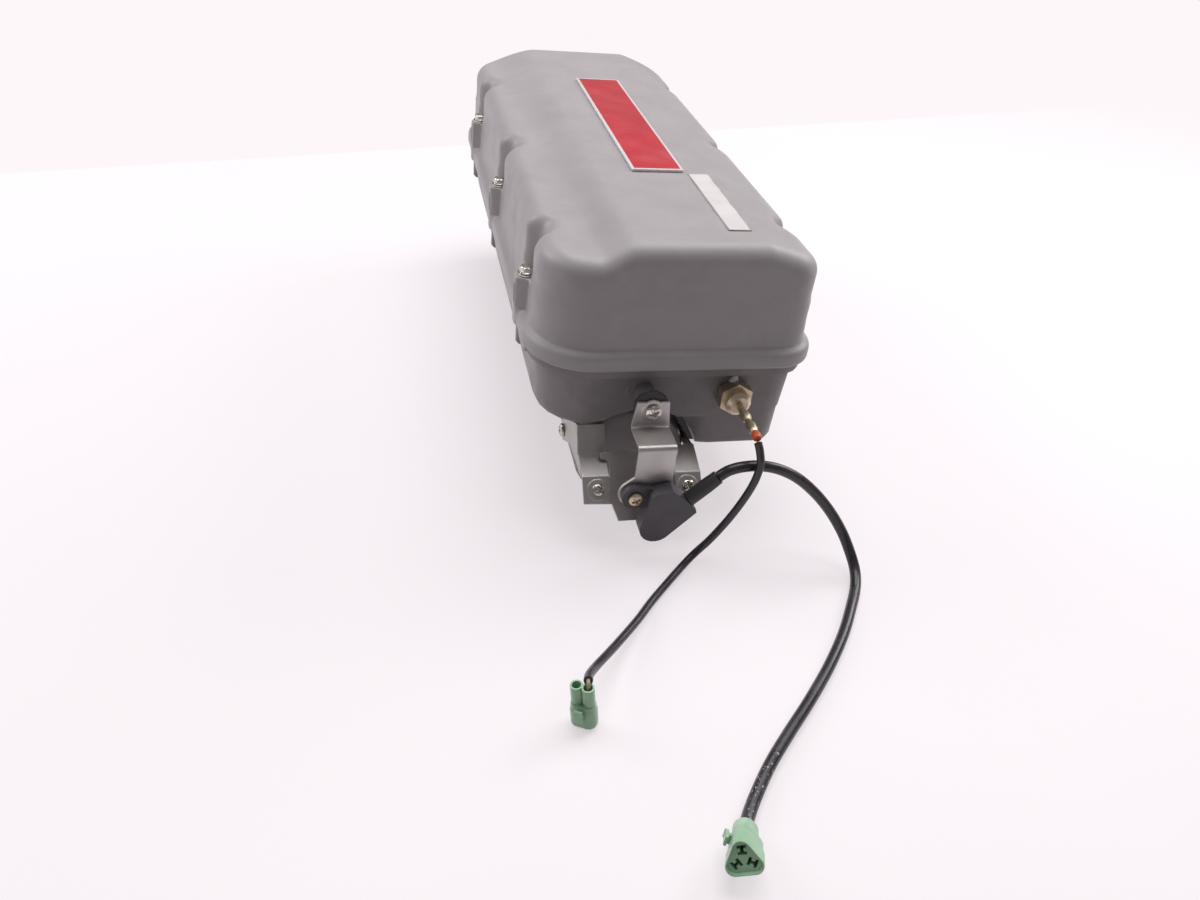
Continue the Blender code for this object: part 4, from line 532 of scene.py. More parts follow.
def smooth_copy(node, look, slot, bevel=0.0, sharp=35):
    """A solid's own shape with its loose triangles merged, flat parts joined, and shading that ignores
    facets.
    """
    source = frame["nodes"][node].data
    places = np.empty(len(source.vertices) * 3)
    source.vertices.foreach_get("co", places)
    corners = np.empty(len(source.loops), int)
    source.loops.foreach_get("vertex_index", corners)
    unique, which = np.unique(np.round(places.reshape(-1, 3), 6), axis=0, return_inverse=True)
    triangles = which.reshape(-1)[corners].reshape(-1, 3)
    real = np.diff(np.sort(triangles, axis=1), axis=1).all(axis=1)
    mesh = bpy.data.meshes.new(f"{node}_smooth")
    mesh.from_pydata(unique.tolist(), [], triangles[real].tolist())
    body = bmesh.new()
    body.from_mesh(mesh)
    bmesh.ops.dissolve_limit(body, angle_limit=math.radians(0.4), verts=body.verts, edges=body.edges)
    body.to_mesh(mesh)
    body.free()
    mesh.shade_smooth()
    mesh.set_sharp_from_angle(angle=math.radians(sharp))
    made = settle(f"{node}_smooth", mesh, look, frame["nodes"][node]["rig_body"], slot, node)
    if bevel:
        step = made.modifiers.new("soft_edge", "BEVEL")
        step.width = bevel
        step.segments = 2
        step.limit_method = "ANGLE"
        step.angle_limit = math.radians(sharp)
    made.modifiers.new("even_shading", "WEIGHTED_NORMAL").keep_sharp = True
    return made


print("grid helpers ready")

# %% [markdown]
# ## Cover
# The cover is one moulding: a flange with a rounded bead, drafted walls with a scooped pocket above each
# screw and a boss below it, a rounded top edge, a plateau, a left shoulder that widens to the back and a
# flat right slope. A subdivision cage would blur the pockets, so the skin is worked out directly: a loop
# round the case, carried up a profile, where the loop moves in at the pockets and out at the bosses.

# %% Cover sizes
WIDTH, LENGTH = 0.200, 0.477
HALF = WIDTH / 2
CORNERS = np.array((0.045, 0.028, 0.045, 0.045))
LEAST_CORNER = 0.006
SCREW_X, SCREW_YS = 0.094, np.array((0.071, 0.2285, 0.386))
SEAT_HEIGHT, POCKET_REACH, POCKET_HALF = 0.035, 0.0105, 0.013
BOSS_REACH, BOSS_HALF = 0.0075, 0.0085
PLATEAU_LEFT, PLATEAU_RIGHT, PLATEAU_HEIGHT = -0.033, 0.052, 0.0834
WALL_FOOT, WALL_HEAD, EDGE_RADIUS = 0.0058, 0.0074, 0.013
FLANGE_HEIGHT, BEAD_HEIGHT, SEALING_FACE, COVER_WALL = 0.0075, 0.0130, 0.015, 0.003
SIDE_STEPS, END_STEPS, CORNER_STEPS = 190, 48, 14
print("cover:", WIDTH, "by", LENGTH, "m")


# %% Cover loops
def smooth_step(low, high, value):
    """0 below low, 1 above high, and a cubic between."""
    share = np.clip((value - low) / (high - low), 0, 1)
    return share * share * (3 - 2 * share)


def near_screw(y, full, none):
    """1 within full of a screw, measured along the case, falling to 0 at none."""
    off = np.min(np.abs(y[:, None] - SCREW_YS[None, :]), axis=1)
    return 1 - smooth_step(full, none, off)


def case_loop(left, right, front, back, radii, swell=None):
    """A rounded rectangle, anticlockwise from the front left. swell(y) moves the two long sides
    outwards.
    """
    front_left, front_right, back_right, back_left = radii
    shares = np.linspace(0, 1, END_STEPS)
    quarter = np.linspace(0, np.pi / 2, CORNER_STEPS + 2)[1:-1]

    def corner(x, y, radius, start):
        return np.column_stack((x + radius * np.cos(start + quarter), y + radius * np.sin(start + quarter)))

    right_y = np.linspace(front + front_right, back - back_right, SIDE_STEPS)
    left_y = np.linspace(back - back_left, front + front_left, SIDE_STEPS)
    right_out = np.zeros(SIDE_STEPS) if swell is None else swell(right_y)
    left_out = np.zeros(SIDE_STEPS) if swell is None else swell(left_y)
    front_x = left + front_left + shares * (right - front_right - left - front_left)
    back_x = right - back_right + shares * (left + back_left - right + back_right)
    return np.concatenate((
        np.column_stack((front_x, np.full(END_STEPS, front))),
        corner(right - front_right, front + front_right, front_right, -np.pi / 2),
        np.column_stack((right + right_out, right_y)),
        corner(right - back_right, back - back_right, back_right, 0.0),
        np.column_stack((back_x, np.full(END_STEPS, back))),
        corner(left + back_left, back - back_left, back_left, np.pi / 2),
        np.column_stack((left - left_out, left_y)),
        corner(left + front_left, front + front_left, front_left, np.pi),
    ))


def inset_loop(inset, swell=None):
    """The flange's outline set in by a distance."""
    radii = np.maximum(CORNERS - inset, LEAST_CORNER)
    return case_loop(inset - HALF, HALF - inset, inset, LENGTH - inset, radii, swell)


def top_height(flat):
    """The top over a place: the plateau less the deeper of the left shoulder and the right slope."""
    x, y = flat[:, 0], flat[:, 1]
    run = 0.025 + np.clip(y / LENGTH, 0, 1) * 0.023
    left = smooth_step(0, 1, (PLATEAU_LEFT - x) / run)
    right = np.clip((x - PLATEAU_RIGHT) / 0.033, 0, 1)
    return PLATEAU_HEIGHT - np.maximum(0.011 * left, 0.0095 * right)


def bosses(inset):
    """How far the wall moves out to wrap the screw bosses."""
    return lambda y: (SCREW_X + BOSS_REACH - HALF + inset) * near_screw(y, 0.45 * BOSS_HALF, 1.15 * BOSS_HALF)


def pockets(inset, depth=1.0):
    """How far the wall moves in at the pockets above the screws."""
    reach = depth * (HALF - inset - SCREW_X + POCKET_REACH)
    return lambda y: -reach * near_screw(y, 0.35 * POCKET_HALF, 1.40 * POCKET_HALF)


def raised(flat, height):
    return np.column_stack((flat, np.broadcast_to(height, len(flat))))


def seat_shift(flat, amount):
    """Moves a loop up or down away from the screws, so that the seats themselves stay level."""
    side = np.abs(flat[:, 0]) > HALF - 0.03
    return amount * (1 - side * near_screw(flat[:, 1], 0.70 * POCKET_HALF, 1.38 * POCKET_HALF))


def top_loop(share, drop, depth=0.0):
    """A loop on the top, from the plateau's edge at 0 to the rim of the rounded edge at 1."""
    rim = WALL_HEAD + EDGE_RADIUS
    left = PLATEAU_LEFT + share * (rim - HALF - PLATEAU_LEFT)
    right = PLATEAU_RIGHT + share * (HALF - rim - PLATEAU_RIGHT)
    margin = rim + (1 - share) * LEAST_CORNER
    radii = LEAST_CORNER + share * (np.maximum(CORNERS - rim, LEAST_CORNER) - LEAST_CORNER)
    swell = pockets(WALL_HEAD, depth) if depth else None
    flat = case_loop(left, right, margin, LENGTH - margin, radii, swell)
    return raised(flat, top_height(flat) - drop)


print("points round the case:", len(inset_loop(0.0)))


# %% Cover skin
def outer_rows():
    """Loops from the flange's foot up the bead, wall, seats and rounded edge to the plateau."""
    profile = softened(
        [
            (0.0008, 0.0), (0.0, 0.0009), (0.0, FLANGE_HEIGHT), (0.0010, 0.0102), (0.0041, 0.0122),
            (0.0054, 0.0132), (WALL_FOOT, BEAD_HEIGHT + 0.003), (0.0062, 0.0240),
        ],
        0.0012, 3,
    )
    rows = [raised(inset_loop(inset, bosses(inset)), z) for inset, z in profile]
    middle = (WALL_FOOT + WALL_HEAD) / 2
    for drop, depth in ((0.0035, 1.0), (0.0018, 1.0), (0.0007, 0.97), (0.0, 0.90)):
        flat = inset_loop(middle, lambda y, depth=depth: depth * bosses(middle)(y))
        rows.append(raised(flat, SEAT_HEIGHT - drop + seat_shift(flat, -0.002)))
    for rise, depth in ((0.0, 0.88), (0.0005, 0.96), (0.0016, 1.0), (0.0040, 1.0)):
        flat = inset_loop(middle, pockets(middle, depth))
        rows.append(raised(flat, SEAT_HEIGHT + rise + seat_shift(flat, 0.002)))
    wall = inset_loop(WALL_HEAD, pockets(WALL_HEAD))
    foot = SEAT_HEIGHT + 0.004 + seat_shift(wall, 0.002)
    head = top_height(wall) - EDGE_RADIUS
    rows += [raised(wall, foot + share * (head - foot)) for share in (0.25, 0.5, 0.75)]
    for turn in np.radians(np.linspace(0, 90, 11)):
        flat = inset_loop(WALL_HEAD + EDGE_RADIUS * (1 - np.cos(turn)), pockets(WALL_HEAD))
        rows.append(raised(flat, top_height(flat) - EDGE_RADIUS * (1 - np.sin(turn))))
    for share in np.linspace(0.95, 0.0, 14):
        rows.append(top_loop(share, 0.0, smooth_step(0.35, 1.0, share)))
    return rows


def inner_rows():
    """Loops from under the plateau down the inside of the wall to the sealing face."""
    rows = [top_loop(share, COVER_WALL, smooth_step(0.35, 1.0, share)) for share in (0.0, 0.25, 0.55, 0.8)]
    radius, centre = EDGE_RADIUS - COVER_WALL, WALL_HEAD + EDGE_RADIUS
    for turn in np.radians((90, 60, 30, 0)):
        flat = inset_loop(centre - radius * np.cos(turn), pockets(WALL_HEAD))
        rows.append(raised(flat, top_height(flat) - EDGE_RADIUS + radius * np.sin(turn)))
    column = SCREW_X - POCKET_REACH - COVER_WALL
    feet = ((WALL_FOOT + COVER_WALL, BEAD_HEIGHT), (SEALING_FACE, FLANGE_HEIGHT), (SEALING_FACE, 0.0))
    for inset, z in feet:
        share = (HALF - inset - column) / (HALF - inset - SCREW_X + POCKET_REACH)
        rows.append(raised(inset_loop(inset, pockets(inset, share)), z))
    return rows


cover_grid = np.array(inner_rows() + outer_rows()) + DATUM
cover_mesh = grid_mesh("cover_skin", cover_grid, sharp=32)
print("cover skin:", len(cover_mesh.polygons), "faces")


# %% Cover holes
def slot_cutter(x, y):
    """A round-ended slot that stands upright in the boss: a stadium carried along x."""
    half, low, high = 0.0019, 0.0135, 0.0290
    turn = np.linspace(0, np.pi, 9)
    lower = np.column_stack((half * np.cos(turn + np.pi), low + half + half * np.sin(turn + np.pi)))
    upper = np.column_stack((half * np.cos(turn), high - half + half * np.sin(turn)))
    edge = np.concatenate((lower, upper))
    out = math.copysign(1.0, x)
    depth = np.array((x + out * 0.0005, x + out * 0.03))
    grid = np.stack([np.column_stack((np.full(len(edge), d), y + edge[:, 0], edge[:, 1])) for d in depth])
    return grid_mesh("slot", grid + DATUM)


cutters = []
for screw_x in (-SCREW_X, SCREW_X):
    for screw_y in SCREW_YS:
        bore = lathe([(0.0030, -0.004), (0.0030, SEAT_HEIGHT + 0.004)], 24)
        cutters.append(grid_mesh("bore", place(bore, (screw_x, screw_y, 0))))
        cutters.append(slot_cutter(screw_x, screw_y))


def cut(piece, cutters, sharp):
    """The piece with the cutters taken out of it, once and for all."""
    tool = bpy.data.objects.new("cutters", merged(cutters, "cutters"))
    bpy.context.scene.collection.objects.link(tool)
    step = piece.modifiers.new("holes", "BOOLEAN")
    step.operation = "DIFFERENCE"
    step.object = tool
    bpy.context.view_layer.update()
    piece.data = bpy.data.meshes.new_from_object(piece.evaluated_get(bpy.context.evaluated_depsgraph_get()))
    piece.modifiers.clear()
    piece.data.shade_smooth()
    piece.data.set_sharp_from_angle(angle=math.radians(sharp))
    bpy.data.objects.remove(tool)
    print(piece.name, "with holes:", len(piece.data.polygons), "faces")


cover = settle("cover_skin", cover_mesh, COVER_GREY, "cover", "grey_paint", "cover")
cut(cover, cutters, 32)

# %% [markdown]
# ## Tabs under the flange
# Small round-ended tabs hang from the flange and lock over the tray's rim. Each is a thin tongue that
# follows the flange's edge, so its rows run along the edge and its columns go round its own section.


# %% Tabs
def tab_grid(side, corner, middle, length=0.028, drop=0.0070):
    """A tongue along the edge. Its foot follows a high power of the place along it, which rounds its
    ends.
    """
    share = np.sin(np.linspace(-np.pi / 2, np.pi / 2, 25))
    y = middle + share * length / 2
    short = np.maximum(corner - y, 0.0)
    edge = HALF - corner + np.sqrt(corner**2 - short**2)
    foot = -0.001 - (drop - 0.001) * np.sqrt(np.clip(1 - np.abs(share) ** 6, 0, 1))
    outer, inner, top = edge - 0.0014, edge - 0.0038, 0.0055
    section = np.array([
        (0.0, 0.35), (0.25, 0.06), (0.5, 0.0), (0.8, 0.08), (1.0, 0.4), (1.0, 1.0), (0.0, 1.0),
    ])
    x = inner[:, None] + section[None, :, 0] * (outer - inner)[:, None]
    drop_here = np.minimum(section[None, :, 1] * 0.0024, 0.0024) * (section[None, :, 1] < 0.99)
    z = np.where(section[None, :, 1] > 0.99, top, foot[:, None] + drop_here)
    return np.stack((side * x, np.broadcast_to(y[:, None], x.shape), z), axis=-1) + DATUM


tab_meshes = [
    grid_mesh("tab", tab_grid(side, corner, 0.050 + i * 0.072))
    for side, corner in ((-1, CORNERS[0]), (1, CORNERS[1]))
    for i in range(6)
]
settle("cover_tabs", merged(tab_meshes, "cover_tabs"), COVER_GREY, "cover", "grey_paint")
print("tabs:", len(tab_meshes))

# %% [markdown]
# ## Name plate and strip
# A thin plate is glued along the plateau. It is bare: a red field inside a pale border. Beside it lies a
# plain strip of paper. The plate is a rounded rectangle carried up a small bevel, and its border is
# worked out in the material, from the distance to the nearest edge. The strip is a sheet with a faint
# ripple, thickened.

# %% Name plate sizes
PLATE_MIDDLE = np.array((0.0085, 0.2480)) + DATUM[:2]
PLATE_HALF = np.array((0.0195, 0.1120))
PLATE_LOW, PLATE_TOP = PLATEAU_HEIGHT + 0.0003, PLATEAU_HEIGHT + 0.0021


def plate_red():
    """Red inside a pale border: the border is where the nearer edge is less than a border's width away."""
    made = finish(
        "plate_red", (0.50, 0.030, 0.045), (0.60, 0.045, 0.060), (0.26, 0.44), 0.0010, 0.00001,
        worn=((0.75, 0.55, 0.55), 0.3), dirt=((0.40, 0.14, 0.15), 0.30),
    )
    tree = made.node_tree
    shader = tree.nodes["Principled BSDF"]
    where = add(tree, "ShaderNodeTexCoord").outputs["Object"]
    shifted = add(tree, "ShaderNodeVectorMath", {1: (*PLATE_MIDDLE, 0.0)}, operation="SUBTRACT")
    tree.links.new(where, shifted.inputs[0])
    folded = add(tree, "ShaderNodeVectorMath", operation="ABSOLUTE")
    tree.links.new(shifted.outputs["Vector"], folded.inputs[0])
    inside = add(tree, "ShaderNodeVectorMath", {0: (*PLATE_HALF, 0.0)}, operation="SUBTRACT")
    tree.links.new(folded.outputs["Vector"], inside.inputs[1])
    parts = add(tree, "ShaderNodeSeparateXYZ")
    tree.links.new(inside.outputs["Vector"], parts.inputs[0])
    nearer = add(tree, "ShaderNodeMath", operation="MINIMUM")
    tree.links.new(parts.outputs["X"], nearer.inputs[0])
    tree.links.new(parts.outputs["Y"], nearer.inputs[1])
    border = ramp(tree, nearer.outputs[0], 0.0019, 0.0022, 1.0, 0.0)
    field = shader.inputs["Base Color"].links[0].from_socket
    tree.links.new(blend_colours(tree, border, field, (0.72, 0.67, 0.68)), shader.inputs["Base Color"])
    return made


print("plate half sizes:", PLATE_HALF.tolist())


# %% Name plate and strip
def rounded_rectangle(half, radius, steps=6):
    """Points round a rectangle, anticlockwise, with a quarter circle at each corner."""
    quarter = np.linspace(0, np.pi / 2, steps + 1)
    loops = []
    for sx, sy, start in ((1, 1, 0), (-1, 1, 1), (-1, -1, 2), (1, -1, 3)):
        turn = quarter + start * np.pi / 2
        centre = np.array((sx, sy)) * (np.array(half) - radius)
        loops.append(centre + radius * np.column_stack((np.cos(turn), np.sin(turn))))
    return np.concatenate(loops)


PLATE_CORNER = 0.0015
PLATE_PROFILE = (
    (0.0, PLATE_LOW), (0.0, PLATE_TOP - 0.0004), (0.0002, PLATE_TOP - 0.0001), (0.0005, PLATE_TOP),
)
plate_rows = [raised(rounded_rectangle(PLATE_HALF - inset, PLATE_CORNER), z) for inset, z in PLATE_PROFILE]
plate_grid = np.array(plate_rows) + (*PLATE_MIDDLE, DATUM[2])
plate_mesh = grid_mesh("name_plate_face", plate_grid)
settle("name_plate_face", plate_mesh, plate_red(), "cover", "red_plate", "name_plate")

PAPER = finish(
    "paper", (0.60, 0.565, 0.565), (0.70, 0.665, 0.660), (0.60, 0.75), 0.0008, 0.00004,
    worn=((0.78, 0.76, 0.75), 0.3), dirt=((0.46, 0.42, 0.41), 0.45),
)
strip_x, strip_y = np.meshgrid(np.linspace(0.0300, 0.0465, 12), np.linspace(0.035, 0.134, 60), indexing="ij")
strip_x = strip_x + 0.0004 * np.sin(strip_y * 310) * (strip_x > 0.045)
strip_z = PLATEAU_HEIGHT + 0.00012 + 0.00008 * (1 + np.sin(strip_y * 160 + strip_x * 90))
strip_grid = np.stack((strip_x, strip_y, strip_z), axis=-1) + DATUM
strip_mesh = grid_mesh("paper_strip", strip_grid, round_columns=False, caps=False)
paper_strip = settle("paper_strip", strip_mesh, PAPER, "cover", "grey_paint")
thick = paper_strip.modifiers.new("thickness", "SOLIDIFY")
thick.thickness = 0.00012
thick.offset = 1.0
print("plate and strip made")

# %% [markdown]
# ## Pan-head screws
# The brackets are held by pan-head screws with a cross recess. A head is a flattened dome on a polar
# grid. The recess is a dip of that dome, deepest on two crossing bars and gone at a ring near the rim.


# %% Pan-head screws
def cross_screw(radius, length, head, sides=72):
    """Shank, flat underside and dome. The dip is a soft cross times a soft ring, in shares of the head."""
    dome = np.linspace(0.96, 0.02, 22)
    profile = [(0.7 * radius, -length), (radius, 0.001 - length), (radius, 0.0), (0.94 * head, 0.0)]
    profile += [(head, 0.05 * head), (head, 0.33 * head)]
    profile += [(share * head, (0.36 + 0.32 * (1 - share**2)) * head) for share in dome]
    grid = lathe(profile, sides)
    top = grid[-len(dome):]
    off_bar = np.minimum(np.abs(top[..., 0]), np.abs(top[..., 1])) / head
    out = np.hypot(top[..., 0], top[..., 1]) / head
    dip = (1 - smooth_step(0.10, 0.20, off_bar)) * (1 - smooth_step(0.50, 0.68, out))
    top[..., 2] -= 0.42 * head * dip
    return grid


def settle_screw(node, look, slot, at, axis, side, sizes):
    """A screw in its place. sizes are its shank's radius and length and its head's radius."""
    grid = place(cross_screw(*sizes), at, axis, side)
    settle(f"{node}_head", grid_mesh(node, grid, sharp=30), look, "case", slot, node)


SLOPE = (0.0, -math.sqrt(0.5), math.sqrt(0.5))
TILTED = (0.9, 0.0, 0.45)
FORWARD = (0, -1, 0)
STRAP_X = -0.019
STRAP_SCREW, SADDLE_SCREW = (0.003, 0.036, 0.0052), (0.002, 0.010, 0.0042)
SIDE_BOLT, SENSOR_BOLT = (0.003, 0.011, 0.005), (0.003, 0.0125, 0.0048)
strap_at = (STRAP_X, -0.0160, -0.0206)
settle_screw("strap_screw", SCREW_STEEL, "stainless", strap_at, FORWARD, TILTED, STRAP_SCREW)
for name, side in (("left", -1), ("right", 1)):
    saddle_at = (STRAP_X + side * 0.032, -0.020 - 0.002 * math.sqrt(0.5), -0.082 + 0.002 * math.sqrt(0.5))
    saddle_node, bolt_node = f"saddle_screw_{name}", f"side_bolt_{name}"
    settle_screw(saddle_node, SCREW_STEEL, "stainless", saddle_at, SLOPE, (1, 0.3, 0), SADDLE_SCREW)
    bolt_at = (STRAP_X + side * 0.0431, 0.055, -0.0845)
    settle_screw(bolt_node, SCREW_STEEL, "stainless", bolt_at, (side, 0, 0), (0, 0.4, 1), SIDE_BOLT)
sensor_at = (-0.0315, -0.0446, -0.0705)
settle_screw("sensor_bolt", DULL_BRASS, "brass", sensor_at, FORWARD, TILTED, SENSOR_BOLT)
print("pan-head screws made")

# %% [markdown]
# ## Three-way connector
# The sensor's lead ends in a sealed connector: a narrow tail over the lead, a shoulder, and a three-sided
# hood whose sunken face has a slot for each blade. It is moulded in one piece, so one loop of a rounded
# triangle is carried along the connector's axis, out over the hood's rim and back into it. The slots are
# cut afterwards.

# %% Three-way connector
THREE_WAY = {"at": (-0.0163, -0.2559, -0.1190), "axis": (-0.393, -0.786, 0.480), "side": (-1.0, 0.1, 0.3)}
HOOD, HOOD_LENGTH = 0.0105, 0.031


def triangle_loop(reach, rounding, steps=14):
    """A triangle with round corners and a flat side towards its own +X."""
    parts = []
    for i in range(3):
        middle, radius = math.radians(60 + 120 * i), rounding * reach
        centre = (reach - radius) * np.array((math.cos(middle), math.sin(middle)))
        turn = np.radians(np.linspace(120 * i, 120 * i + 120, steps + 1))
        parts.append(centre + radius * np.column_stack((np.cos(turn), np.sin(turn))))
    return np.concatenate(parts)


hood_profile = [
    (0.58, 0.000, 0.90), (0.66, 0.020, 0.90), (0.69, 0.290, 0.80), (0.73, 0.320, 0.70), (0.89, 0.345, 0.50),
    (0.92, 0.370, 0.45), (0.93, 0.600, 0.45), (0.95, 0.625, 0.45), (0.99, 0.640, 0.45), (1.00, 0.660, 0.45),
    (1.00, 0.975, 0.45), (0.985, 1.00, 0.45), (0.92, 1.000, 0.45), (0.90, 0.990, 0.45), (0.89, 0.930, 0.45),
]
hood_rows = [
    raised(triangle_loop(share * HOOD, rounding), z * HOOD_LENGTH) for share, z, rounding in hood_profile
]
hood_mesh = grid_mesh("three_way_hood", place(np.array(hood_rows), **THREE_WAY), sharp=42)
three_way = settle("three_way_hood", hood_mesh, GREEN_PLASTIC, "case", "green_plastic", "three_way_housing")


def blade_slot(middle):
    """An H-shaped slot, turned towards the hood's middle."""
    half, waist, reach = 0.0023, 0.0009, 0.0025
    edge = np.array((
        (-reach, -half), (-waist, -half), (-waist, -waist), (waist, -waist), (waist, -half), (reach, -half),
        (reach, half), (waist, half), (waist, waist), (-waist, waist), (-waist, half), (-reach, half),
    ))
    turn = math.radians(middle)
    spin = np.array(((math.cos(turn), math.sin(turn)), (-math.sin(turn), math.cos(turn))))
    flat = edge @ spin + 0.44 * HOOD * np.array((math.cos(turn), math.sin(turn)))
    rows = np.array([raised(flat, z * HOOD_LENGTH) for z in (0.45, 1.10)])
    return grid_mesh("blade_slot", place(rows, **THREE_WAY))


cut(three_way, [blade_slot(middle) for middle in (60, 180, 300)], 42)

# %% [markdown]
# ## Pieces that keep their solids' shape
# The other solids already have the right form. A merged copy of each, with its flat parts joined, the
# edges of some slightly bevelled and its shading evened out, hides the facets that the solids need for
# their size.

# %% Smooth copies
PLAIN = {
    "tray": (TRAY_GREY, "tray_grey", 0.0),
    "inlet_duct": (TRAY_GREY, "black_plastic", 0.0),
    "sensor_body": (BLACK_PLASTIC, "black_plastic", 0.0008),
    "sensor_gland": (BLACK_RUBBER, "black_rubber", 0.0),
    "strap_bracket": (SATIN_STEEL, "stainless", 0.0003),
    "side_bracket_left": (SATIN_STEEL, "stainless", 0.0003),
    "side_bracket_right": (SATIN_STEEL, "stainless", 0.0003),
    "saddle_plate": (SATIN_STEEL, "stainless", 0.0003),
    "sensor_nut": (SCREW_STEEL, "stainless", 0.0),
    "sender_body": (DULL_BRASS, "brass", 0.0003),
    "sender_washer": (DULL_BRASS, "brass", 0.0),
    "sender_terminal": (DULL_BRASS, "brass", 0.0),
    "sender_wire_seal": (ORANGE_SEAL, "orange_seal", 0.0),
    "three_way_latch": (GREEN_PLASTIC, "green_plastic", 0.0002),
    "two_way_housing": (GREEN_PLASTIC, "green_plastic", 0.0),
    "two_way_latch": (GREEN_PLASTIC, "green_plastic", 0.0002),
    "cover_seal": (BLACK_RUBBER, "black_rubber", 0.0),
    "neck_seal": (BLACK_RUBBER, "black_rubber", 0.0),
}
for i in (1, 2, 3):
    PLAIN[f"outlet_boot_{i}"] = (BLACK_RUBBER, "black_rubber", 0.0)
    PLAIN[f"boot_clamp_{i}"] = (SATIN_STEEL, "stainless", 0.0)
    PLAIN[f"flame_arrester_{i}"] = (SATIN_STEEL, "wire_mesh", 0.0)
for i in range(1, 7):
    PLAIN[f"cover_screw_{i}"] = (SCREW_STEEL, "stainless", 0.0)
    PLAIN[f"cover_washer_{i}"] = (SCREW_STEEL, "stainless", 0.0)
    PLAIN[f"tray_insert_{i}"] = (DULL_BRASS, "brass", 0.0)
for node, (look, slot, bevel) in PLAIN.items():
    smooth_copy(node, look, slot, bevel)
print("copies:", len(PLAIN))

# %% [markdown]
# ## Strap damper and sender's sealing tip
# The strap's upper end rests on a rubber damper: a disc behind the strap, on a narrower neck that reaches
# the tray. Above the sender's hexagon a small tip of pale sealing compound stands out. Both are turned
# shapes. The damper takes its place and reach from its solid's own box.

# %% Damper and tip
damper_low, damper_high = (np.array(corner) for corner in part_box("strap_damper"))
damper_radius = (damper_high[0] - damper_low[0]) / 2
damper_depth = damper_high[1] - damper_low[1]
damper_profile = [
    (0.30 * damper_radius, 0.0), (0.92 * damper_radius, 0.0), (0.98 * damper_radius, 0.0004),
    (damper_radius, 0.0012), (damper_radius, 0.0036), (0.97 * damper_radius, 0.0045), (0.88 * damper_radius, 0.0050),
    (0.30 * damper_radius, 0.0050),
]
neck_profile = [
    (0.30 * damper_radius, 0.0051), (0.50 * damper_radius, 0.0051), (0.55 * damper_radius, 0.0060),
    (0.58 * damper_radius, 0.92 * damper_depth), (0.58 * damper_radius, damper_depth),
]
damper_front = (damper_low + damper_high) / 2
damper_front[1] = damper_low[1]
damper_grid = place(lathe(damper_profile, 64), damper_front - DATUM, (0, 1, 0))
settle(
    "strap_damper_disc", grid_mesh("strap_damper_disc", damper_grid), BLACK_RUBBER, "case", "black_rubber",
    "strap_damper",
)
neck_grid = place(lathe(neck_profile, 64), damper_front - DATUM, (0, 1, 0))
settle("strap_damper_neck", grid_mesh("strap_damper_neck", neck_grid), TRAY_GREY, "case", "tray_grey")
print("damper radius:", round(float(damper_radius), 4), "depth:", round(float(damper_depth), 4))

washer_low, washer_high = (np.array(corner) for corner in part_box("sender_washer"))
washer_middle = (washer_low + washer_high) / 2
tip_foot = np.array((washer_middle[0] - 0.001, washer_low[1], washer_high[2] - 0.0012))
tip_profile = [
    (0.0034, 0.0), (0.0036, 0.0010), (0.0030, 0.0034), (0.0018, 0.0062), (0.0010, 0.0074), (0.0003, 0.0078),
]
tip_grid = place(lathe(tip_profile, 32), tip_foot - DATUM, (0.0, -0.25, 1.0))
settle("sealing_tip", grid_mesh("sealing_tip", tip_grid), PAPER, "case", "brass")
print("sealing tip at:", np.round(tip_foot, 4).tolist())

# %% [markdown]
# ## Leads
# Two round leads come out of the front: a thick one from the sensor and a thin one from the sender. Both
# lie where they fell, in full view from end to end. Each is a ring carried along a smooth curve through a
# few chosen points, with the ring kept from twisting by turning it only as much as the path turns.

# %% Lead routes
SENSOR_ROUTE = (
    (0.0236, -0.0453, -0.0544), (0.0300, -0.0454, -0.0496), (0.0397, -0.0455, -0.0470),
    (0.0521, -0.0460, -0.0467), (0.0653, -0.0470, -0.0497), (0.0794, -0.0485, -0.0569),
    (0.0938, -0.0510, -0.0686), (0.1063, -0.0545, -0.0819), (0.1169, -0.0600, -0.0964),
    (0.1230, -0.0680, -0.1085), (0.1250, -0.0790, -0.1175), (0.1205, -0.0920, -0.1209),
    (0.1100, -0.1090, -0.1212), (0.0940, -0.1320, -0.1212), (0.0735, -0.1565, -0.1212),
    (0.0510, -0.1800, -0.1212), (0.0300, -0.2003, -0.1212), (0.0115, -0.2190, -0.1212),
    (-0.0035, -0.2370, -0.1212), (-0.0115, -0.2480, -0.1208), (-0.0157, -0.2549, -0.1191),
)
SENDER_ROUTE = (
    (0.0441, -0.0484, -0.0257), (0.0456, -0.0502, -0.0302), (0.0469, -0.0533, -0.0380),
    (0.0466, -0.0541, -0.0440), (0.0452, -0.0535, -0.0560), (0.0416, -0.0512, -0.0725),
    (0.0348, -0.0495, -0.0908), (0.0248, -0.0497, -0.1076), (0.0165, -0.0505, -0.1175),
    (0.0065, -0.0575, -0.1213), (-0.0089, -0.0727, -0.1219), (-0.0245, -0.0890, -0.1219),
    (-0.0396, -0.1080, -0.1185), (-0.0608, -0.1337, -0.1110), (-0.0761, -0.1531, -0.1025),
    (-0.0836, -0.1650, -0.0955), (-0.0862, -0.1722, -0.0917),
)
WIRE_ROUTE = (
    (-0.0856, -0.1710, -0.0922), (-0.0862, -0.1726, -0.0914), (-0.0866, -0.1746, -0.0912),
    (-0.0866, -0.1757, -0.0930), (-0.0864, -0.1757, -0.0965), (-0.0861, -0.1757, -0.1020),
)


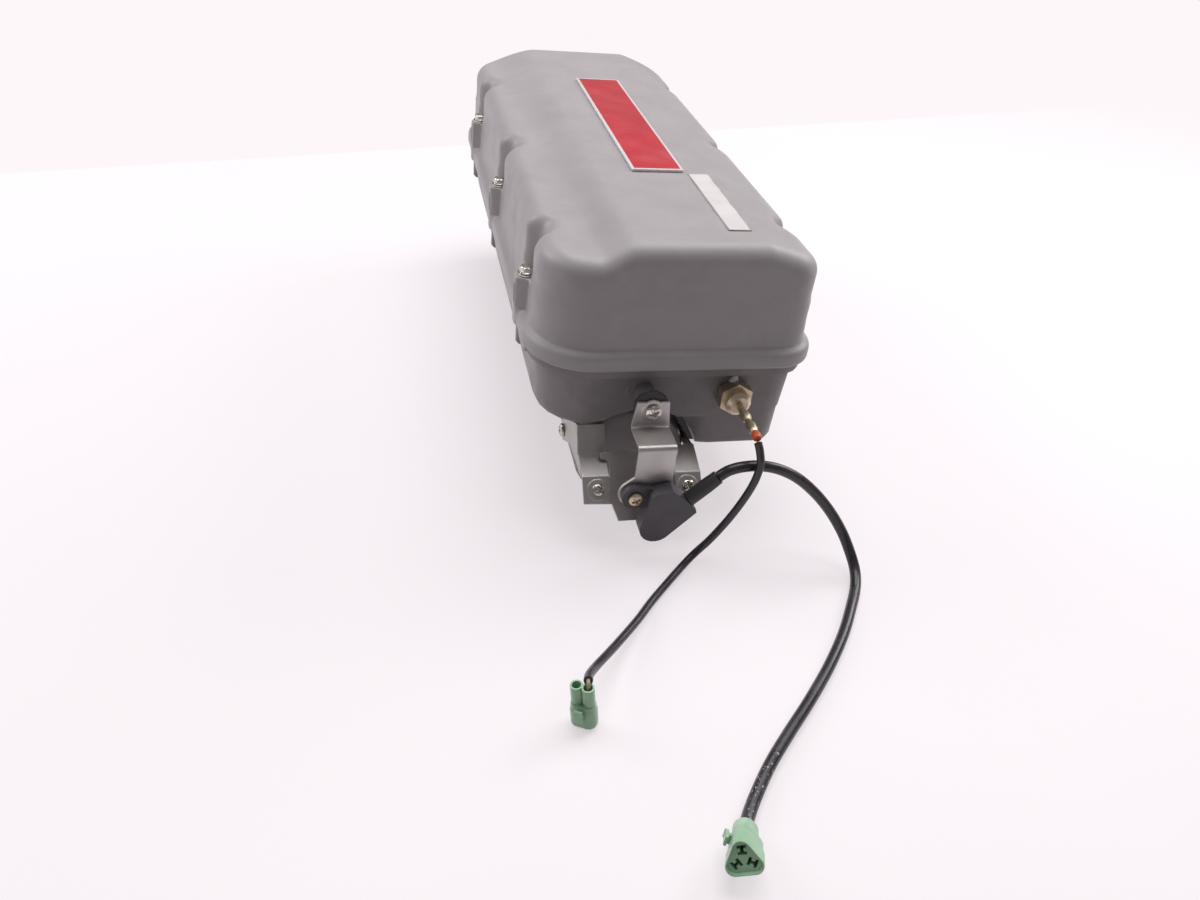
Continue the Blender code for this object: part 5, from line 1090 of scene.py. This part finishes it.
def smooth_line(route, spacing):
    """Even steps along the cubic that passes each point in the direction from the one before to the one
    after.
    """
    knots = np.array(route)
    knots = np.vstack((2 * knots[0] - knots[1], knots, 2 * knots[-1] - knots[-2]))
    a, b, c, d = (knots[i : len(knots) - 3 + i, None] for i in range(4))
    t = np.linspace(0, 1, 24, endpoint=False)[None, :, None]
    square, cube = (2 * a - 5 * b + 4 * c - d) * t**2, (3 * b - 3 * c + d - a) * t**3
    fine = 0.5 * (2 * b + (c - a) * t + square + cube)
    fine = np.vstack((fine.reshape(-1, 3), knots[-2]))
    walked = np.concatenate(([0.0], np.cumsum(np.linalg.norm(np.diff(fine, axis=0), axis=1))))
    wanted = np.linspace(0, walked[-1], round(walked[-1] / spacing) + 1)
    return np.column_stack([np.interp(wanted, walked, fine[:, i]) for i in range(3)]), wanted


LEAD_SIDES = 20


def carried_rings(path, radius, sides=LEAD_SIDES):
    """A ring at each point of a path, square to it. Across starts sideways and is carried along
    unturned.
    """
    along = np.gradient(path, axis=0)
    along /= np.linalg.norm(along, axis=1)[:, None]
    across = np.empty_like(path)
    across[0] = directions(along[0], (0.3, 0.2, 1.0))[0]
    for i in range(1, len(path)):
        across[i] = across[i - 1] - np.dot(across[i - 1], along[i]) * along[i]
        across[i] /= np.linalg.norm(across[i])
    up = np.cross(along, across)
    turn = 2 * np.pi * np.arange(sides) / sides
    ring = np.cos(turn)[None, :, None] * across[:, None] + np.sin(turn)[None, :, None] * up[:, None]
    return path[:, None] + np.broadcast_to(radius, len(path))[:, None, None] * ring


LEAD_BLACK = finish(
    "lead_black", (0.026, 0.022, 0.027), (0.040, 0.035, 0.041), (0.24, 0.46), 0.0012, 0.00003,
    worn=((0.12, 0.11, 0.12), 0.2), dirt=((0.095, 0.086, 0.090), 0.40), edge=0.0002,
)
WIRE_TAN = finish(
    "wire_tan", (0.30, 0.25, 0.14), (0.38, 0.32, 0.19), (0.40, 0.55), 0.0006, 0.00002,
    worn=((0.50, 0.44, 0.30), 0.2), dirt=((0.16, 0.13, 0.08), 0.40), edge=0.0002,
)


def taped_sheath(start):
    """The lead's finish with pale specks from a place along the lead to its end, where tape was wound
    on it.
    """
    made = LEAD_BLACK.copy()
    made.name = "lead_taped"
    tree = made.node_tree
    shader = tree.nodes["Principled BSDF"]
    along = add(tree, "ShaderNodeAttribute", attribute_name="along").outputs["Fac"]
    taped = ramp(tree, along, start, start + 0.004)
    where = add(tree, "ShaderNodeTexCoord").outputs["Object"]
    flakes = add(tree, "ShaderNodeTexNoise", {"Scale": 520.0, "Detail": 2.0})
    tree.links.new(where, flakes.inputs["Vector"])
    share = add(tree, "ShaderNodeMath", operation="MULTIPLY")
    tree.links.new(taped, share.inputs[0])
    tree.links.new(ramp(tree, flakes.outputs["Fac"], 0.62, 0.70), share.inputs[1])
    colour = shader.inputs["Base Color"].links[0].from_socket
    flaked = blend_colours(tree, share.outputs[0], colour, (0.42, 0.40, 0.41))
    tree.links.new(flaked, shader.inputs["Base Color"])
    return made


def make_lead(name, route, diameter, look, node):
    """A lead along a route that stands in for its solid, with its length so far stored at each point."""
    path, walked = smooth_line(route, 0.0015)
    path = path + DATUM
    mesh = grid_mesh(name, carried_rings(path, diameter / 2))
    along = mesh.attributes.new("along", "FLOAT", "POINT")
    along.data.foreach_set("value", np.repeat(walked, LEAD_SIDES).astype(np.float32))
    made = settle(name, mesh, look, "case", "lead_black", node)
    print(name, round(float(walked[-1]) * 1000), "mm long")
    return made


# %% Leads
make_lead(
    "sensor_lead_sheath", SENSOR_ROUTE, 0.0075, taped_sheath(0.318), "sensor_lead",
)
wire_path = smooth_line(WIRE_ROUTE, 0.0004)[0] + DATUM
wire_mesh = grid_mesh("sender_wire", carried_rings(wire_path, 0.0011, 16))
settle("sender_wire", wire_mesh, WIRE_TAN, "case", "lead_black")
make_lead(
    "sender_lead_sheath", SENDER_ROUTE, 0.0054, LEAD_BLACK, "sender_lead",
)

# %% [markdown]
# ## Last update
# The view layer is brought up to date.

# %% Finish
bpy.context.view_layer.update()
